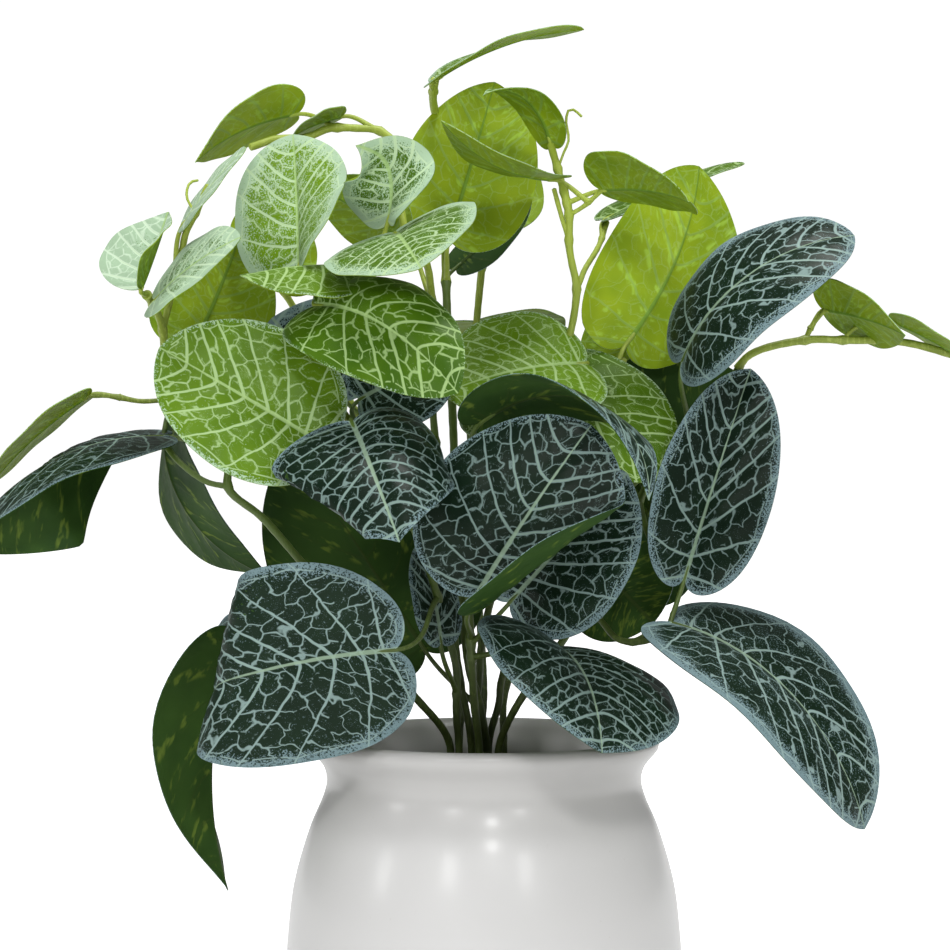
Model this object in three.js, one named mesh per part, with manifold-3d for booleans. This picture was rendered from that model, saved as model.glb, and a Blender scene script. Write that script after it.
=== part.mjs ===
// Potted nerve plant: a glazed vase, the peat in it, and leafy stems that rise through the peat.
// Millimetres, +Z up, the front towards -Y, the origin at the centre of the vase's flat base.
import * as THREE from "three";
import { mergeVertices } from "three/addons/utils/BufferGeometryUtils.js";
import Module from "manifold-3d";

const wasm = await Module();
wasm.setup();

// Vase: its wall as [radius, height] pairs, up the outside and down the inside.
const VASE_OUTSIDE = [
  [51, 0], [52.5, 1.5], [60, 20], [66.4, 40], [72, 60], [76.2, 75], [78.6, 92], [78, 108], [75.6, 127],
  [69.2, 149], [64.5, 160], [62.7, 167], [64, 173], [68, 178], [70, 181],
];
const VASE_LIP = [[69, 184], [66.5, 185], [63.5, 184], [60.5, 180.5]];
const VASE_INSIDE = [
  [57.8, 173], [58.4, 163], [65.5, 145], [71, 126], [73.4, 104], [72.4, 80], [61.5, 38], [49, 9],
];
const VASE_FLOOR = 7;
const VASE_SIDES = 32;

// Peat fill: it follows the inside wall with a small gap and stands in a low mound.
const GAP = 0.3;
const PEAT_TOP = 161;
const PEAT_RISE = 3;
const PEAT_SIDES = 18;
const HOLE_DEPTH = 36;

// Foliage sizes shared by every leafy stem.
const BLADE_THICK = 0.7;
const LARGE_ROWS = [0, 0.1, 0.22, 0.36, 0.52, 0.7, 0.88, 1];
const SMALL_ROWS = [0, 0.13, 0.28, 0.48, 0.74, 1];
const SMALL_WIDTH = 45;
const LARGE_WIDTH = 70;
const COLUMNS = { plain: 2, large: 4, rolled: 8 };
const EDGE_SPLIT = 0.42;
const SECTION_STEPS = 16;
const RIB_STEPS = 60;
const STEM_SIDES = 5;
const PETIOLE_SIDES = 3;
const STEM_STEP = 24;
const BRANCH_STEP = 12;
const COLLAR = 1.5;
const PETIOLE_STEPS = 3;
const PETIOLE_BACK = 18;
const PETIOLE_DROP = 6;
const PETIOLE_FOOT = 1.25;
const PETIOLE_TIP = 0.9;
const RIB_REACH = 0.05;

// The shape of a blade whose row gives nothing else.
const PLAIN_SHAPE = {
  bend: 20, nod: [0, 0.45, 1], fold: [8, 8], curl: [-10, -10], twist: 0, skew: 0, bow: 0, point: 0,
};

const DARK = "dark";
const LIME = "lime";

// A blade: the two ends of its midrib, the way its upper side looks, and its full width. Its shape
// may give, in degrees: bend, the arch of the whole midrib; nod [turn, from, to], a fold across it;
// fold and curl, the lift of the left and right half; twist; skew, the slant of bend and nod; and
// roll [half, from, to, turn, inner, outer], an edge that turns over. bow shifts the midrib
// sideways and point sharpens the tip, as shares of the length and of the tip's width.
function leaf(base, tip, face, width, shape = {}) {
  return { base, tip, face, width, shape };
}

// The leafy stems. foot is the place in the peat, dark and lime the path of each colour of the main
// stem, and branches are side stems as [colour, radius, points].
const STEMS = [
  {
    name: "left_stem",
    foot: [-14, 0],
    radius: 1.7,
    dark: [
      [-14, 0, 182], [-29, -12, 203], [-55, -18, 235], [-72, -20, 255], [-87, -20, 272], [-100, -20, 283],
      [-101, -17, 293],
    ],
    lime: [
      [-113, -6, 308], [-126, -1, 318], [-127, -5, 334], [-127, -12, 346], [-128, -20, 352], [-130, -36, 358],
    ],
    branches: [
      [DARK, 1.3, [[-100, -20, 283], [-109, -20, 286], [-120, -18, 294], [-127, -12, 302]]],
      [LIME, 1.1, [[-126, -1, 318], [-137, -4, 318], [-148, -7, 320], [-156, -9, 320]]],
      [
        LIME, 1.5,
        [
          [-127, -12, 346], [-123, -12, 362], [-119, -15, 377], [-117, -18, 384], [-113, -18, 392],
          [-108, -20, 402],
        ],
      ],
      [LIME, 0.6, [[-114, -18, 391], [-117, -16, 398], [-116, -13, 404], [-113, -12, 405]]],
    ],
    leaves: [
      [
        DARK,
        leaf([-97, -20, 224], [-99, -30, 126], [-0.7, 0.7, 0.2], 66, { bend: 60, fold: [0, 70], point: 1 }),
      ],
      [
        DARK,
        leaf([-128, -10, 304], [-206, -20, 258], [-0.25, -0.2, 0.9], 76, {
          bend: 65, fold: [0, 0], roll: [1, 0, 1.2, -95, 1, -1.4],
        }),
      ],
      [DARK, leaf([-130, 24, 308], [-86, 8, 248], [0.75, 0.5, 0.45], 54, { bend: -80, point: 0.6 })],
      [
        LIME,
        leaf([-118, -20, 387], [-92, -30, 416], [-0.75, -0.3, 0.6], 32, {
          bend: 12, fold: [0, 0], curl: [0, 0],
        }),
      ],
      [
        LIME,
        leaf([-131, -45, 360], [-121, -40, 390], [-0.4, -0.9, 0.2], 50, {
          bend: -10, fold: [0, 70], point: 0.6,
        }),
      ],
      [LIME, leaf([-126, -40, 356], [-91, -60, 378], [-0.3, -0.65, 0.72], 42, { bend: 25, fold: [0, 15] })],
      [LIME, leaf([-157, -9, 320], [-197, -10, 283], [-0.65, 0.08, 0.7], 36)],
      [LIME, leaf([-117, 10, 341], [-100, 20, 385], [0.3, 0.9, 0.2], 54)],
    ],
  },
  {
    name: "front_left_stem",
    foot: [-10, -8],
    radius: 1.7,
    dark: [
      [-10, -8, 182], [-11, -10, 194], [-11, -12, 212], [-15, -15, 228], [-19, -25, 244], [-27, -40, 268],
      [-38, -50, 290], [-47, -52, 304],
    ],
    lime: [[-51, -51, 309], [-56, -48, 315]],
    branches: [],
    leaves: [
      [
        DARK,
        leaf([-34, -62, 223], [-85, -34, 209], [-0.35, -0.92, 0.1], 77, {
          bend: 25, nod: [110, 0.43, 0.8], skew: 28, bow: 0.06,
        }),
      ],
      [
        DARK,
        leaf([-49, -74, 308], [-30, -113, 264], [-0.1, -0.8, 0.6], 82, {
          bend: 36, fold: [20, 0], curl: [-110, -20], roll: [1, -0.1, 1.2, -140, 0.93, -0.1], point: 0.6,
        }),
      ],
      [DARK, leaf([-48, -30, 318], [-9, -30, 336], [0, -0.8, 0.6], 50)],
      [DARK, leaf([-17, -26, 224], [-26, -20, 262], [0.7, -0.6, 0.3], 28)],
      [LIME, leaf([-62, -60, 301], [-123, -60, 337], [-0.2, -0.95, 0.35], 64, { bend: 10, fold: [25, 0] })],
    ],
  },
  {
    name: "top_left_stem",
    foot: [-5, -2],
    radius: 1.7,
    dark: [[-5, -2, 180], [-6, -3, 189], [-10, -3, 209], [-13, 0, 239], [-18, 5, 287], [-21, 5, 322]],
    lime: [
      [-21, 3, 345], [-21, 0, 359], [-23, -12, 373], [-30, -28, 381], [-32, -26, 390], [-32, -15, 401],
      [-34, 0, 419], [-42, 5, 427], [-51, 5, 428], [-62, 5, 428], [-71, 2, 424], [-83, 0, 423], [-93, -5, 419],
    ],
    branches: [[LIME, 1.4, [[-21, 0, 359], [-33, -15, 361], [-48, -30, 366], [-58, -37, 366]]]],
    leaves: [
      [DARK, leaf([-55, -10, 318], [-84, -15, 351], [-0.3, -0.8, 0.5], 66)],
      [
        LIME,
        leaf([-77, 20, 436], [-115, -10, 412], [-0.15, 0.55, 0.8], 42, { bend: 35, fold: [5, 20], point: 0.8 }),
      ],
      [
        LIME,
        leaf([-71, -40, 367], [-75, -20, 423], [-0.15, -1, 0.1], 54, {
          bend: -15, fold: [0, 48], curl: [-10, -25], twist: -45,
        }),
      ],
      [LIME, leaf([-52, -40, 369], [-92, -60, 363], [0, -0.5, 0.9], 54, { fold: [0, -45] })],
      [
        LIME,
        leaf([-64, -50, 353], [-9, -98, 317], [-0.1, -0.75, 0.6], 52, {
          bend: 55, fold: [45, -10], curl: [-90, 0], bow: -0.03, point: 0.2, twist: -20,
        }),
      ],
      [
        LIME,
        leaf([-37, -40, 386], [-49, -56, 413], [-0.3, -0.85, -0.3], 40, {
          bend: 0, nod: [-60, 0.4, 0.8], fold: [30, 0], twist: -115, bow: 0.15, point: 1,
        }),
      ],
      [LIME, leaf([-34, -45, 381], [-23, -95, 363], [-0.3, -0.55, 0.78], 62, { bend: 25 })],
      [LIME, leaf([-34, 20, 385], [-68, 20, 406], [0, 0.6, 0.8], 40)],
      [LIME, leaf([-57, 5, 433], [-77, 0, 424], [-0.2, 0.1, 1], 30)],
    ],
  },
  {
    name: "top_stem",
    foot: [1, -5],
    radius: 1.9,
    dark: [[1, -5, 180], [-2, -6, 198], [-6, -2, 212], [-10, 12, 254], [-13, 20, 319], [-15, 28, 355]],
    lime: [[-16, 38, 380], [-17, 52, 404], [-18, 55, 430], [-21, 38, 444], [-20, 22, 450]],
    branches: [],
    leaves: [
      [DARK, leaf([-11, 61, 377], [20, 70, 412], [0.5, 0.6, -0.3], 26)],
      [LIME, leaf([-14, 20, 386], [5, 45, 454], [0.1, 0.95, -0.1], 58, { bend: 10 })],
      [LIME, leaf([-20, 20, 450], [41, 0, 467], [-0.25, -0.12, 0.95], 42, { bend: 30, twist: 25 })],
    ],
  },
  {
    name: "tall_stem",
    foot: [-4, 7],
    radius: 1.7,
    dark: [[-4, 7, 182], [-2, 8, 206], [-1, 8, 220], [7, 12, 254], [20, 15, 297]],
    lime: [
      [28, 8, 325], [35, 4, 347], [37, 2, 360], [37, 1, 365], [35, 0, 374], [34, 0, 381], [34, 0, 393],
      [31, 2, 406], [29, 5, 414], [27, 10, 422],
    ],
    branches: [
      [LIME, 1.1, [[34, 2, 383], [31, 0, 392], [28, 0, 403]]],
      [LIME, 1, [[34, 0, 392], [40, -2, 396], [47, -5, 402]]],
      [
        LIME, 0.6,
        [[30, 5, 411], [32, 5, 418], [34, 4, 423], [33, 4, 431], [34, 3, 435], [36, 2, 435], [39, 0, 432]],
      ],
      [LIME, 1.3, [[37, 2, 363], [39, 14, 367], [42, 34, 374], [49, 57, 386], [53, 71, 397]]],
    ],
    leaves: [
      [DARK, leaf([-24, 20, 217], [-80, 30, 303], [0, 1, 0.1], 84, { bend: 0 })],
      [LIME, leaf([6, 20, 321], [74, -24, 287], [0.3, -0.82, 0.5], 72, { bend: 60 })],
      [LIME, leaf([40, -7, 333], [-17, -22, 320], [0, -0.7, 0.8], 70, { bend: 30 })],
      [LIME, leaf([27, 10, 423], [-1, -20, 437], [0.35, 0.35, 0.8], 22, { bend: 100, point: 0.6 })],
      [LIME, leaf([28, 0, 407], [-17, -35, 426], [0.3, 0.12, 0.9], 34, { bend: -45, point: 0.6 })],
      [LIME, leaf([47, -5, 402], [79, -35, 394], [0, 0.65, 0.72], 50, { bend: 30, fold: [30, 0] })],
      [LIME, leaf([53, 72, 399], [114, 80, 424], [-0.35, -0.24, 0.93], 40, { bend: 15 })],
    ],
  },
  {
    name: "right_stem",
    foot: [2, 4],
    radius: 1.7,
    dark: [[2, 4, 182], [6, 4, 197], [7, 4, 206], [19, 8, 238], [38, 11, 283]],
    lime: [[46, 13, 307], [52, 18, 319], [57, 19, 336]],
    branches: [],
    leaves: [
      [DARK, leaf([64, 20, 287], [106, 30, 331], [0, 1, 0], 80)],
      [DARK, leaf([53, 28, 243], [75, 33, 288], [0, 1, 0], 60)],
      [LIME, leaf([58, 18, 342], [91, 54, 420], [-0.1, 0.95, 0.1], 60, { bend: -15, bow: -0.06 })],
    ],
  },
  {
    name: "far_right_stem",
    foot: [6, -2],
    radius: 1.7,
    dark: [
      [6, -2, 180], [13, -8, 197], [30, -8, 221], [51, 5, 254], [69, 5, 291], [86, 0, 315], [98, -5, 326],
    ],
    lime: [[105, -8, 336], [127, -10, 342], [142, -10, 342], [167, -10, 341], [188, -14, 335]],
    branches: [
      [DARK, 1.4, [[40, -2, 239], [47, -10, 230], [53, -20, 224], [63, -26, 224], [73, -30, 229]]],
      [DARK, 1.3, [[63, 5, 279], [66, -10, 263], [77, -25, 249]]],
      [LIME, 1, [[127, -10, 342], [130, -10, 348], [135, -10, 354]]],
      [LIME, 1, [[142, -10, 342], [147, -10, 347], [155, -10, 349], [163, -10, 349]]],
    ],
    leaves: [
      [
        DARK,
        leaf([78, -20, 334], [144, -35, 381], [-0.49, -0.57, 0.65], 60, {
          bend: 78, curl: [-20, -35], point: -0.5,
        }),
      ],
      [DARK, leaf([78, -25, 248], [106, -10, 332], [0.1, -0.95, 0.1], 52, { bend: -10, fold: [30, 35] })],
      [DARK, leaf([74, -30, 231], [143, -60, 154], [0.5, -0.6, 0.65], 70, { bend: 75 })],
      [DARK, leaf([48, 6, 250], [68, -2, 229], [0, 1, 0.1], 48)],
      [LIME, leaf([135, -10, 354], [162, -40, 342], [0.2, 0.6, 0.8], 40, { point: 0.6 })],
      [LIME, leaf([163, -10, 349], [197, -25, 325], [0.3, 0.1, 0.9], 36)],
    ],
  },
  {
    name: "front_stem",
    foot: [-2, -14],
    radius: 1.8,
    dark: [[-2, -14, 181], [-4, -18, 200], [-5, -24, 218], [-6, -25, 240], [-7, -28, 274], [-6, -34, 298]],
    lime: [],
    branches: [],
    leaves: [
      [
        DARK,
        leaf([27, -45, 223], [42, -100, 188], [0.4, -0.33, 0.85], 88, {
          bend: 55, fold: [15, 28], curl: [-35, -50],
        }),
      ],
      [DARK, leaf([10, -40, 240], [55, -50, 290], [-0.1, -0.9, 0.5], 66, { bend: 0 })],
      [
        DARK,
        leaf([-3, -68, 244], [40, -76, 308], [-0.12, -1, 0.15], 80, {
          bend: 35, curl: [-28, -10], roll: [1, -0.2, 0.97, 108, -0.1, 0.74], twist: 10,
        }),
      ],
      [
        DARK,
        leaf([-1, -50, 309], [59, -97, 278], [0.5, 0.02, 0.87], 44, {
          bend: 125, fold: [0, 0], twist: -26, point: 0.6,
        }),
      ],
    ],
  },
  {
    name: "back_left_stem",
    foot: [-10, 13],
    radius: 1.7,
    dark: [[-10, 13, 182], [-9, 30, 200], [-18, 55, 236], [-34, 71, 276]],
    lime: [[-39, 74, 286], [-58, 82, 321], [-79, 80, 356], [-91, 73, 376]],
    branches: [],
    leaves: [
      [DARK, leaf([-38, 82, 274], [-69, 128, 300], [-0.3, 0.85, 0.4], 66)],
      [LIME, leaf([-62, 82, 325], [-87, 128, 323], [-0.3, 0.7, 0.6], 62)],
      [LIME, leaf([-92, 74, 378], [-85, 96, 409], [-0.2, 0.9, 0.4], 44)],
    ],
  },
  {
    name: "back_right_stem",
    foot: [8, 11],
    radius: 1.7,
    dark: [[8, 11, 182], [9, 30, 200], [26, 55, 236], [50, 70, 270], [60, 74, 296]],
    lime: [[66, 75, 320], [72, 74, 335], [78, 72, 349]],
    branches: [],
    leaves: [
      [DARK, leaf([58, 72, 266], [98, 108, 252], [0.5, 0.75, 0.4], 62)],
      [DARK, leaf([62, 74, 300], [100, 110, 310], [0.3, 0.8, 0.5], 62)],
      [LIME, leaf([79, 72, 352], [92, 104, 396], [0.3, 0.9, 0.3], 54)],
      [LIME, leaf([70, 76, 338], [54, 116, 366], [-0.2, 0.9, 0.4], 54)],
    ],
  },
  {
    name: "back_stem",
    foot: [-1, 17],
    radius: 1.8,
    dark: [[-1, 17, 182], [0, 34, 200], [-2, 62, 235], [-4, 78, 278], [-6, 85, 316]],
    lime: [[-5, 87, 330], [-2, 88, 365], [1, 84, 394]],
    branches: [],
    leaves: [
      [DARK, leaf([-6, 80, 254], [-36, 134, 228], [-0.3, 0.85, 0.45], 62)],
      [DARK, leaf([-1, 85, 276], [32, 134, 246], [0.3, 0.85, 0.45], 62)],
      [DARK, leaf([-1, 88, 304], [35, 132, 314], [0.3, 0.85, 0.45], 76)],
      [LIME, leaf([-3, 90, 356], [21, 134, 346], [0.3, 0.7, 0.6], 64)],
      [LIME, leaf([1, 84, 396], [-2, 112, 443], [0, 0.95, 0.3], 54)],
    ],
  },
];

const vector = (xyz) => new THREE.Vector3(...xyz);
const radians = THREE.MathUtils.degToRad;
const clamp = THREE.MathUtils.clamp;
const ease = (u) => u * u * (3 - 2 * u);
const bezier = (a, b, c, d, t) =>
  a * (1 - t) ** 3 + 3 * b * t * (1 - t) ** 2 + 3 * c * t * t * (1 - t) + d * t ** 3;

// The heart-shaped outline: [place along the length, share of the half width] at t from base to tip.
function outline(t, point) {
  if (t < EDGE_SPLIT) {
    const u = t / EDGE_SPLIT;
    return [bezier(0, -0.13, -0.06, 0.34, u), bezier(0, 0.16, 1, 1, u)];
  }
  const u = (t - EDGE_SPLIT) / (1 - EDGE_SPLIT);
  return [bezier(0.34, 0.66, point > 0.5 ? 0.84 : 0.94, 1, u), bezier(1, 1, 0.62 - 0.4 * point, 0, u)];
}

// Where the row of points at t crosses the midrib: side veins leave it low and run up to the edge.
const ribPlace = (t) => 0.05 * t + 0.95 * Math.max(0, (t - 0.38) / 0.62) ** 1.35;

// The middle surface of a blade in space.
class Blade {
  constructor(row) {
    this.shape = { ...PLAIN_SHAPE, ...row.shape };
    this.half = row.width / 2;
    this.base = vector(row.base);
    const chord = vector(row.tip).sub(this.base);
    const along = chord.clone().normalize();
    const face = vector(row.face);
    this.up = face.addScaledVector(along, -face.dot(along)).normalize();
    const right = along.clone().cross(this.up);
    const skew = radians(this.shape.skew);
    this.skew = [Math.cos(skew), Math.sin(skew)];
    this.ahead = along.clone().multiplyScalar(this.skew[0]).addScaledVector(right, this.skew[1]);
    this.right = right.multiplyScalar(this.skew[0]).addScaledVector(along, -this.skew[1]);
    this.#traceMidrib(chord.length());
  }

  // Sums the midrib's turning angle into a curve, then turns and scales it onto its two ends.
  #traceMidrib(chord) {
    const trace = [[0, 0]];
    for (let i = 0; i < RIB_STEPS; i++) {
      const angle = (this.#turned(i / RIB_STEPS) + this.#turned((i + 1) / RIB_STEPS)) / 2;
      const [a, c] = trace[i];
      trace.push([a + Math.cos(angle) / RIB_STEPS, c + Math.sin(angle) / RIB_STEPS]);
    }
    const [a, c] = trace[RIB_STEPS];
    this.turn = Math.atan2(c, a);
    this.length = chord / Math.hypot(a, c);
    const cos = Math.cos(this.turn) * this.length;
    const sin = Math.sin(this.turn) * this.length;
    this.trace = trace.map(([x, z]) => [x * cos + z * sin, z * cos - x * sin]);
  }

  #turned(x) {
    const [nod, from, to] = this.shape.nod;
    return -radians(this.shape.bend) * (x - 0.5) - radians(nod) * ease(clamp((x - from) / (to - from), 0, 1));
  }

  // The midrib at x: [along, up, angle], straight on beyond either end.
  midrib(x) {
    const inside = clamp(x, 0, 1);
    const i = Math.min(Math.floor(inside * RIB_STEPS), RIB_STEPS - 1);
    const part = inside * RIB_STEPS - i;
    const [low, high] = [this.trace[i], this.trace[i + 1]];
    const angle = this.#turned(inside) - this.turn;
    const beyond = (x - inside) * this.length;
    return [
      low[0] + (high[0] - low[0]) * part + beyond * Math.cos(angle),
      low[1] + (high[1] - low[1]) * part + beyond * Math.sin(angle),
      angle,
    ];
  }

  // The cross-section: how far out and how high the surface is at share q of the half width.
  #section(half, x, q) {
    const fold = radians(this.shape.fold[half]) * (1 - 0.5 * clamp(x, 0, 1) ** 2);
    const curl = radians(this.shape.curl[half]);
    let turn = 0;
    let start = 1;
    if (this.shape.roll && this.shape.roll[0] === half) {
      const [, from, to, angle, inner, outer] = this.shape.roll;
      turn = radians(angle) * ease(clamp((x - from) / 0.12, 0, 1) * clamp((to - x) / 0.12, 0, 1));
      start = inner + (outer - inner) * clamp((x - from) / (to - from), 0, 1);
    }
    let out = 0;
    let high = 0;
    for (let i = 0; i < SECTION_STEPS; i++) {
      const place = (q * (i + 0.5)) / SECTION_STEPS;
      const angle = fold + curl * place + turn * ease(clamp((place - start) / 0.22, 0, 1));
      out += Math.cos(angle);
      high += Math.sin(angle);
    }
    const scale = (this.half * q) / SECTION_STEPS;
    return [out * scale, high * scale];
  }

  // The point at row t and column s, from -1 at the left edge through the midrib to 1 at the right.
  at(t, s) {
    const [edgeX, edgeY] = outline(t, this.shape.point);
    const rib = ribPlace(t);
    const share = Math.abs(s);
    const x = rib + (edgeX - rib) * (0.6 * share + 0.4 * share * share);
    const inside = clamp(x, 0, 1);
    const [out, high] = this.#section(s < 0 ? 0 : 1, x, edgeY * share);
    const twist = radians(this.shape.twist) * (inside - 0.5);
    const signed = s < 0 ? -out : out;
    const bow = this.shape.bow * this.length * 4 * inside * (1 - inside);
    const across = signed * Math.cos(twist) - high * Math.sin(twist) + bow;
    const lift = signed * Math.sin(twist) + high * Math.cos(twist);
    const [cos, sin] = this.skew;
    const [along, up, angle] = this.midrib(x * cos + (across / this.length) * sin);
    return this.base
      .clone()
      .addScaledVector(this.ahead, along - lift * Math.sin(angle))
      .addScaledVector(this.right, across * cos - x * this.length * sin)
      .addScaledVector(this.up, up + lift * Math.cos(angle));
  }

  // A point on the midrib, moved down out of the blade by depth.
  under(x, depth) {
    const [cos, sin] = this.skew;
    const bow = this.shape.bow * this.length * 4 * x * (1 - x);
    const [along, up, angle] = this.midrib(x * cos + (bow / this.length) * sin);
    return this.base
      .clone()
      .addScaledVector(this.ahead, along + depth * Math.sin(angle))
      .addScaledVector(this.right, bow * cos - x * this.length * sin)
      .addScaledVector(this.up, up - depth * Math.cos(angle));
  }

  // The direction in which the midrib leaves its base.
  start() {
    return this.under(0.05, 0).sub(this.under(0, 0)).normalize();
  }
}

// A closed mesh from corner points and triangles, as a solid that can be joined and cut.
function solid(corners, triangles) {
  return new wasm.Manifold(
    new wasm.Mesh({
      numProp: 3,
      vertProperties: Float32Array.from(corners.flatMap((p) => [p.x, p.y, p.z])),
      triVerts: Uint32Array.from(triangles.flat()),
    }),
  );
}

// The blade as a thin plate: rows of quads between a single point at the base and one at the tip.
function bladeSolid(blade) {
  const width = blade.half * 2;
  const columns = COLUMNS[blade.shape.roll ? "rolled" : width >= LARGE_WIDTH ? "large" : "plain"];
  const rows = width > SMALL_WIDTH ? LARGE_ROWS : SMALL_ROWS;
  const wide = columns + 1;
  const last = rows.length - 1;
  const middle = [blade.at(0, 0)];
  for (let i = 1; i < last; i++) {
    for (let j = 0; j < wide; j++) middle.push(blade.at(rows[i], (2 * j) / columns - 1));
  }
  middle.push(blade.at(1, 0));
  const tip = middle.length - 1;
  const index = (i, j) => (i === 0 ? 0 : i === last ? tip : 1 + (i - 1) * wide + j);

  const faces = [];
  for (let i = 0; i < last; i++) {
    for (let j = 0; j < columns; j++) {
      const [a, b, c, d] = [index(i, j), index(i, j + 1), index(i + 1, j + 1), index(i + 1, j)];
      if (a !== b) faces.push([a, b, c]);
      if (c !== d) faces.push([a, c, d]);
    }
  }

  const normals = middle.map(() => new THREE.Vector3());
  for (const [a, b, c] of faces) {
    const normal = middle[b].clone().sub(middle[a]).cross(middle[c].clone().sub(middle[a]));
    for (const corner of [a, b, c]) normals[corner].add(normal);
  }
  const side = (sign) => middle.map((p, i) => p.clone().addScaledVector(normals[i].normalize(), sign));
  const corners = [...side(BLADE_THICK / 2), ...side(-BLADE_THICK / 2)];
  const low = (i) => i + middle.length;

  const rim = [];
  for (let i = 0; i <= last; i++) rim.push(index(i, columns));
  for (let i = last - 1; i > 0; i--) rim.push(index(i, 0));
  const triangles = faces.flatMap(([a, b, c]) => [[a, b, c], [low(a), low(c), low(b)]]);
  rim.forEach((a, i) => {
    const b = rim[(i + 1) % rim.length];
    triangles.push([a, low(a), low(b)], [a, low(b), b]);
  });
  return solid(corners, triangles);
}

// A round tube through points, with a radius for each, closed by a flat end at either side.
function tube(points, radii, sides) {
  const tangents = points.map((_, i) => {
    const next = points[Math.min(i + 1, points.length - 1)];
    return next.clone().sub(points[Math.max(i - 1, 0)]).normalize();
  });
  const across = new THREE.Vector3(0.3, 1, 0.2);
  const corners = [];
  points.forEach((p, i) => {
    across.addScaledVector(tangents[i], -across.dot(tangents[i])).normalize();
    const second = tangents[i].clone().cross(across);
    for (let k = 0; k < sides; k++) {
      const angle = (2 * Math.PI * k) / sides;
      corners.push(
        p
          .clone()
          .addScaledVector(across, radii[i] * Math.cos(angle))
          .addScaledVector(second, radii[i] * Math.sin(angle)),
      );
    }
  });
  const triangles = [];
  for (let i = 0; i < points.length - 1; i++) {
    for (let k = 0; k < sides; k++) {
      const [a, b] = [i * sides + k, i * sides + ((k + 1) % sides)];
      triangles.push([a, b, b + sides], [a, b + sides, a + sides]);
    }
  }
  const end = (points.length - 1) * sides;
  for (let k = 1; k < sides - 1; k++) triangles.push([0, k + 1, k], [end, end + k, end + k + 1]);
  return solid(corners, triangles);
}

// Points at even steps along a smooth curve through a few places.
function smoothPath(places, step) {
  const curve = new THREE.CatmullRomCurve3(places, false, "centripetal");
  return curve.getSpacedPoints(Math.max(2, Math.ceil(curve.getLength() / step)));
}

// The two coloured runs of a main stem: one curve from the bottom of its hole to its tip, parted by
// a small gap where the colour changes.
function mainStem(row) {
  const [x, y] = row.foot;
  const foot = [vector([x, y, PEAT_TOP - HOLE_DEPTH + GAP]), vector([x, y, PEAT_TOP + PEAT_RISE + 2])];
  const places = [...foot, ...[...row.dark, ...row.lime].map(vector)];
  const path = smoothPath(places, STEM_STEP);
  if (!row.lime.length) return { dark: path };
  const change = vector(row.dark.at(-1)).lerp(vector(row.lime[0]), 0.5);
  let cut = 1;
  while (cut < path.length - 2 && path[cut].distanceTo(change) > path[cut + 1].distanceTo(change)) cut++;
  const ahead = path[cut + 1].clone().sub(path[cut - 1]).normalize();
  const [before, end, start, after] = [-COLLAR, 0, GAP, GAP + COLLAR].map((far) =>
    path[cut].clone().addScaledVector(ahead, far),
  );
  return { dark: [...path.slice(0, cut), before, end], lime: [start, after, ...path.slice(cut + 1)] };
}

// The place on any of the paths that is closest to a point.
function nearestOn(paths, point) {
  const line = new THREE.Line3();
  let best = paths[0][0];
  for (const path of paths) {
    for (let i = 0; i < path.length - 1; i++) {
      const spot = line.set(path[i], path[i + 1]).closestPointToPoint(point, true, new THREE.Vector3());
      if (spot.distanceTo(point) < best.distanceTo(point)) best = spot;
    }
  }
  return best;
}

// A petiole from the nearest place on its stem to the blade's base, and on as a rib under the blade.
function petioleSolid(blade, paths) {
  const start = blade.start();
  const base = blade.under(0, BLADE_THICK / 2);
  const wanted = base.clone().addScaledVector(start, -PETIOLE_BACK);
  wanted.z -= PETIOLE_DROP;
  const foot = nearestOn(paths, wanted);
  const reach = foot.distanceTo(base) / 3;
  const curve = new THREE.CubicBezierCurve3(
    foot,
    foot.clone().addScaledVector(base.clone().sub(foot).normalize(), reach),
    base.clone().addScaledVector(start, -reach),
    base,
  );
  const points = curve.getPoints(PETIOLE_STEPS);
  points.push(blade.under(RIB_REACH, BLADE_THICK / 2));
  const radii = points.map((_, i) => PETIOLE_FOOT + ((PETIOLE_TIP - PETIOLE_FOOT) * i) / PETIOLE_STEPS);
  return tube(points, radii, PETIOLE_SIDES);
}

// One colour of one leafy stem as a single solid: its runs of stem, its petioles and its blades.
function foliage(row, tone) {
  const main = mainStem(row)[tone];
  const stems = [{ radius: row.radius, path: main }];
  for (const [colour, radius, points] of row.branches) {
    if (colour !== tone) continue;
    const [first, ...rest] = points.map(vector);
    const places = [nearestOn(stems.map(({ path }) => path), first), ...rest];
    stems.push({ radius, path: smoothPath(places, BRANCH_STEP) });
  }
  const pieces = stems.map(({ radius, path }) => tube(path, path.map(() => radius), STEM_SIDES));
  // Petioles keep off the place where the main stem changes colour.
  const clear = tone === DARK ? main.slice(0, -2) : main.slice(1);
  const paths = [clear, ...stems.slice(1).map(({ path }) => path)];
  for (const [colour, shape] of row.leaves) {
    if (colour !== tone) continue;
    const blade = new Blade(shape);
    pieces.push(bladeSolid(blade), petioleSolid(blade, paths));
  }
  return wasm.Manifold.union(pieces);
}

// A ring-shaped or full turned body from [radius, height] pairs that start and end on the axis.
function turned(profile, sides) {
  const geometry = new THREE.LatheGeometry(profile.map(([r, z]) => new THREE.Vector2(r, z)), sides);
  geometry.rotateX(Math.PI / 2);
  return geometry;
}

// A three.js geometry as a solid, and back.
function toSolid(geometry) {
  const bare = geometry.clone();
  bare.deleteAttribute("normal");
  bare.deleteAttribute("uv");
  const merged = mergeVertices(bare, 1e-4);
  return new wasm.Manifold(
    new wasm.Mesh({
      numProp: 3,
      vertProperties: merged.attributes.position.array,
      triVerts: Uint32Array.from(merged.index.array),
    }),
  );
}

function toGeometry(body) {
  const mesh = body.getMesh();
  const geometry = new THREE.BufferGeometry();
  geometry.setAttribute("position", new THREE.BufferAttribute(mesh.vertProperties, 3));
  geometry.setIndex(new THREE.BufferAttribute(mesh.triVerts, 1));
  geometry.computeVertexNormals();
  return geometry;
}

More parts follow.
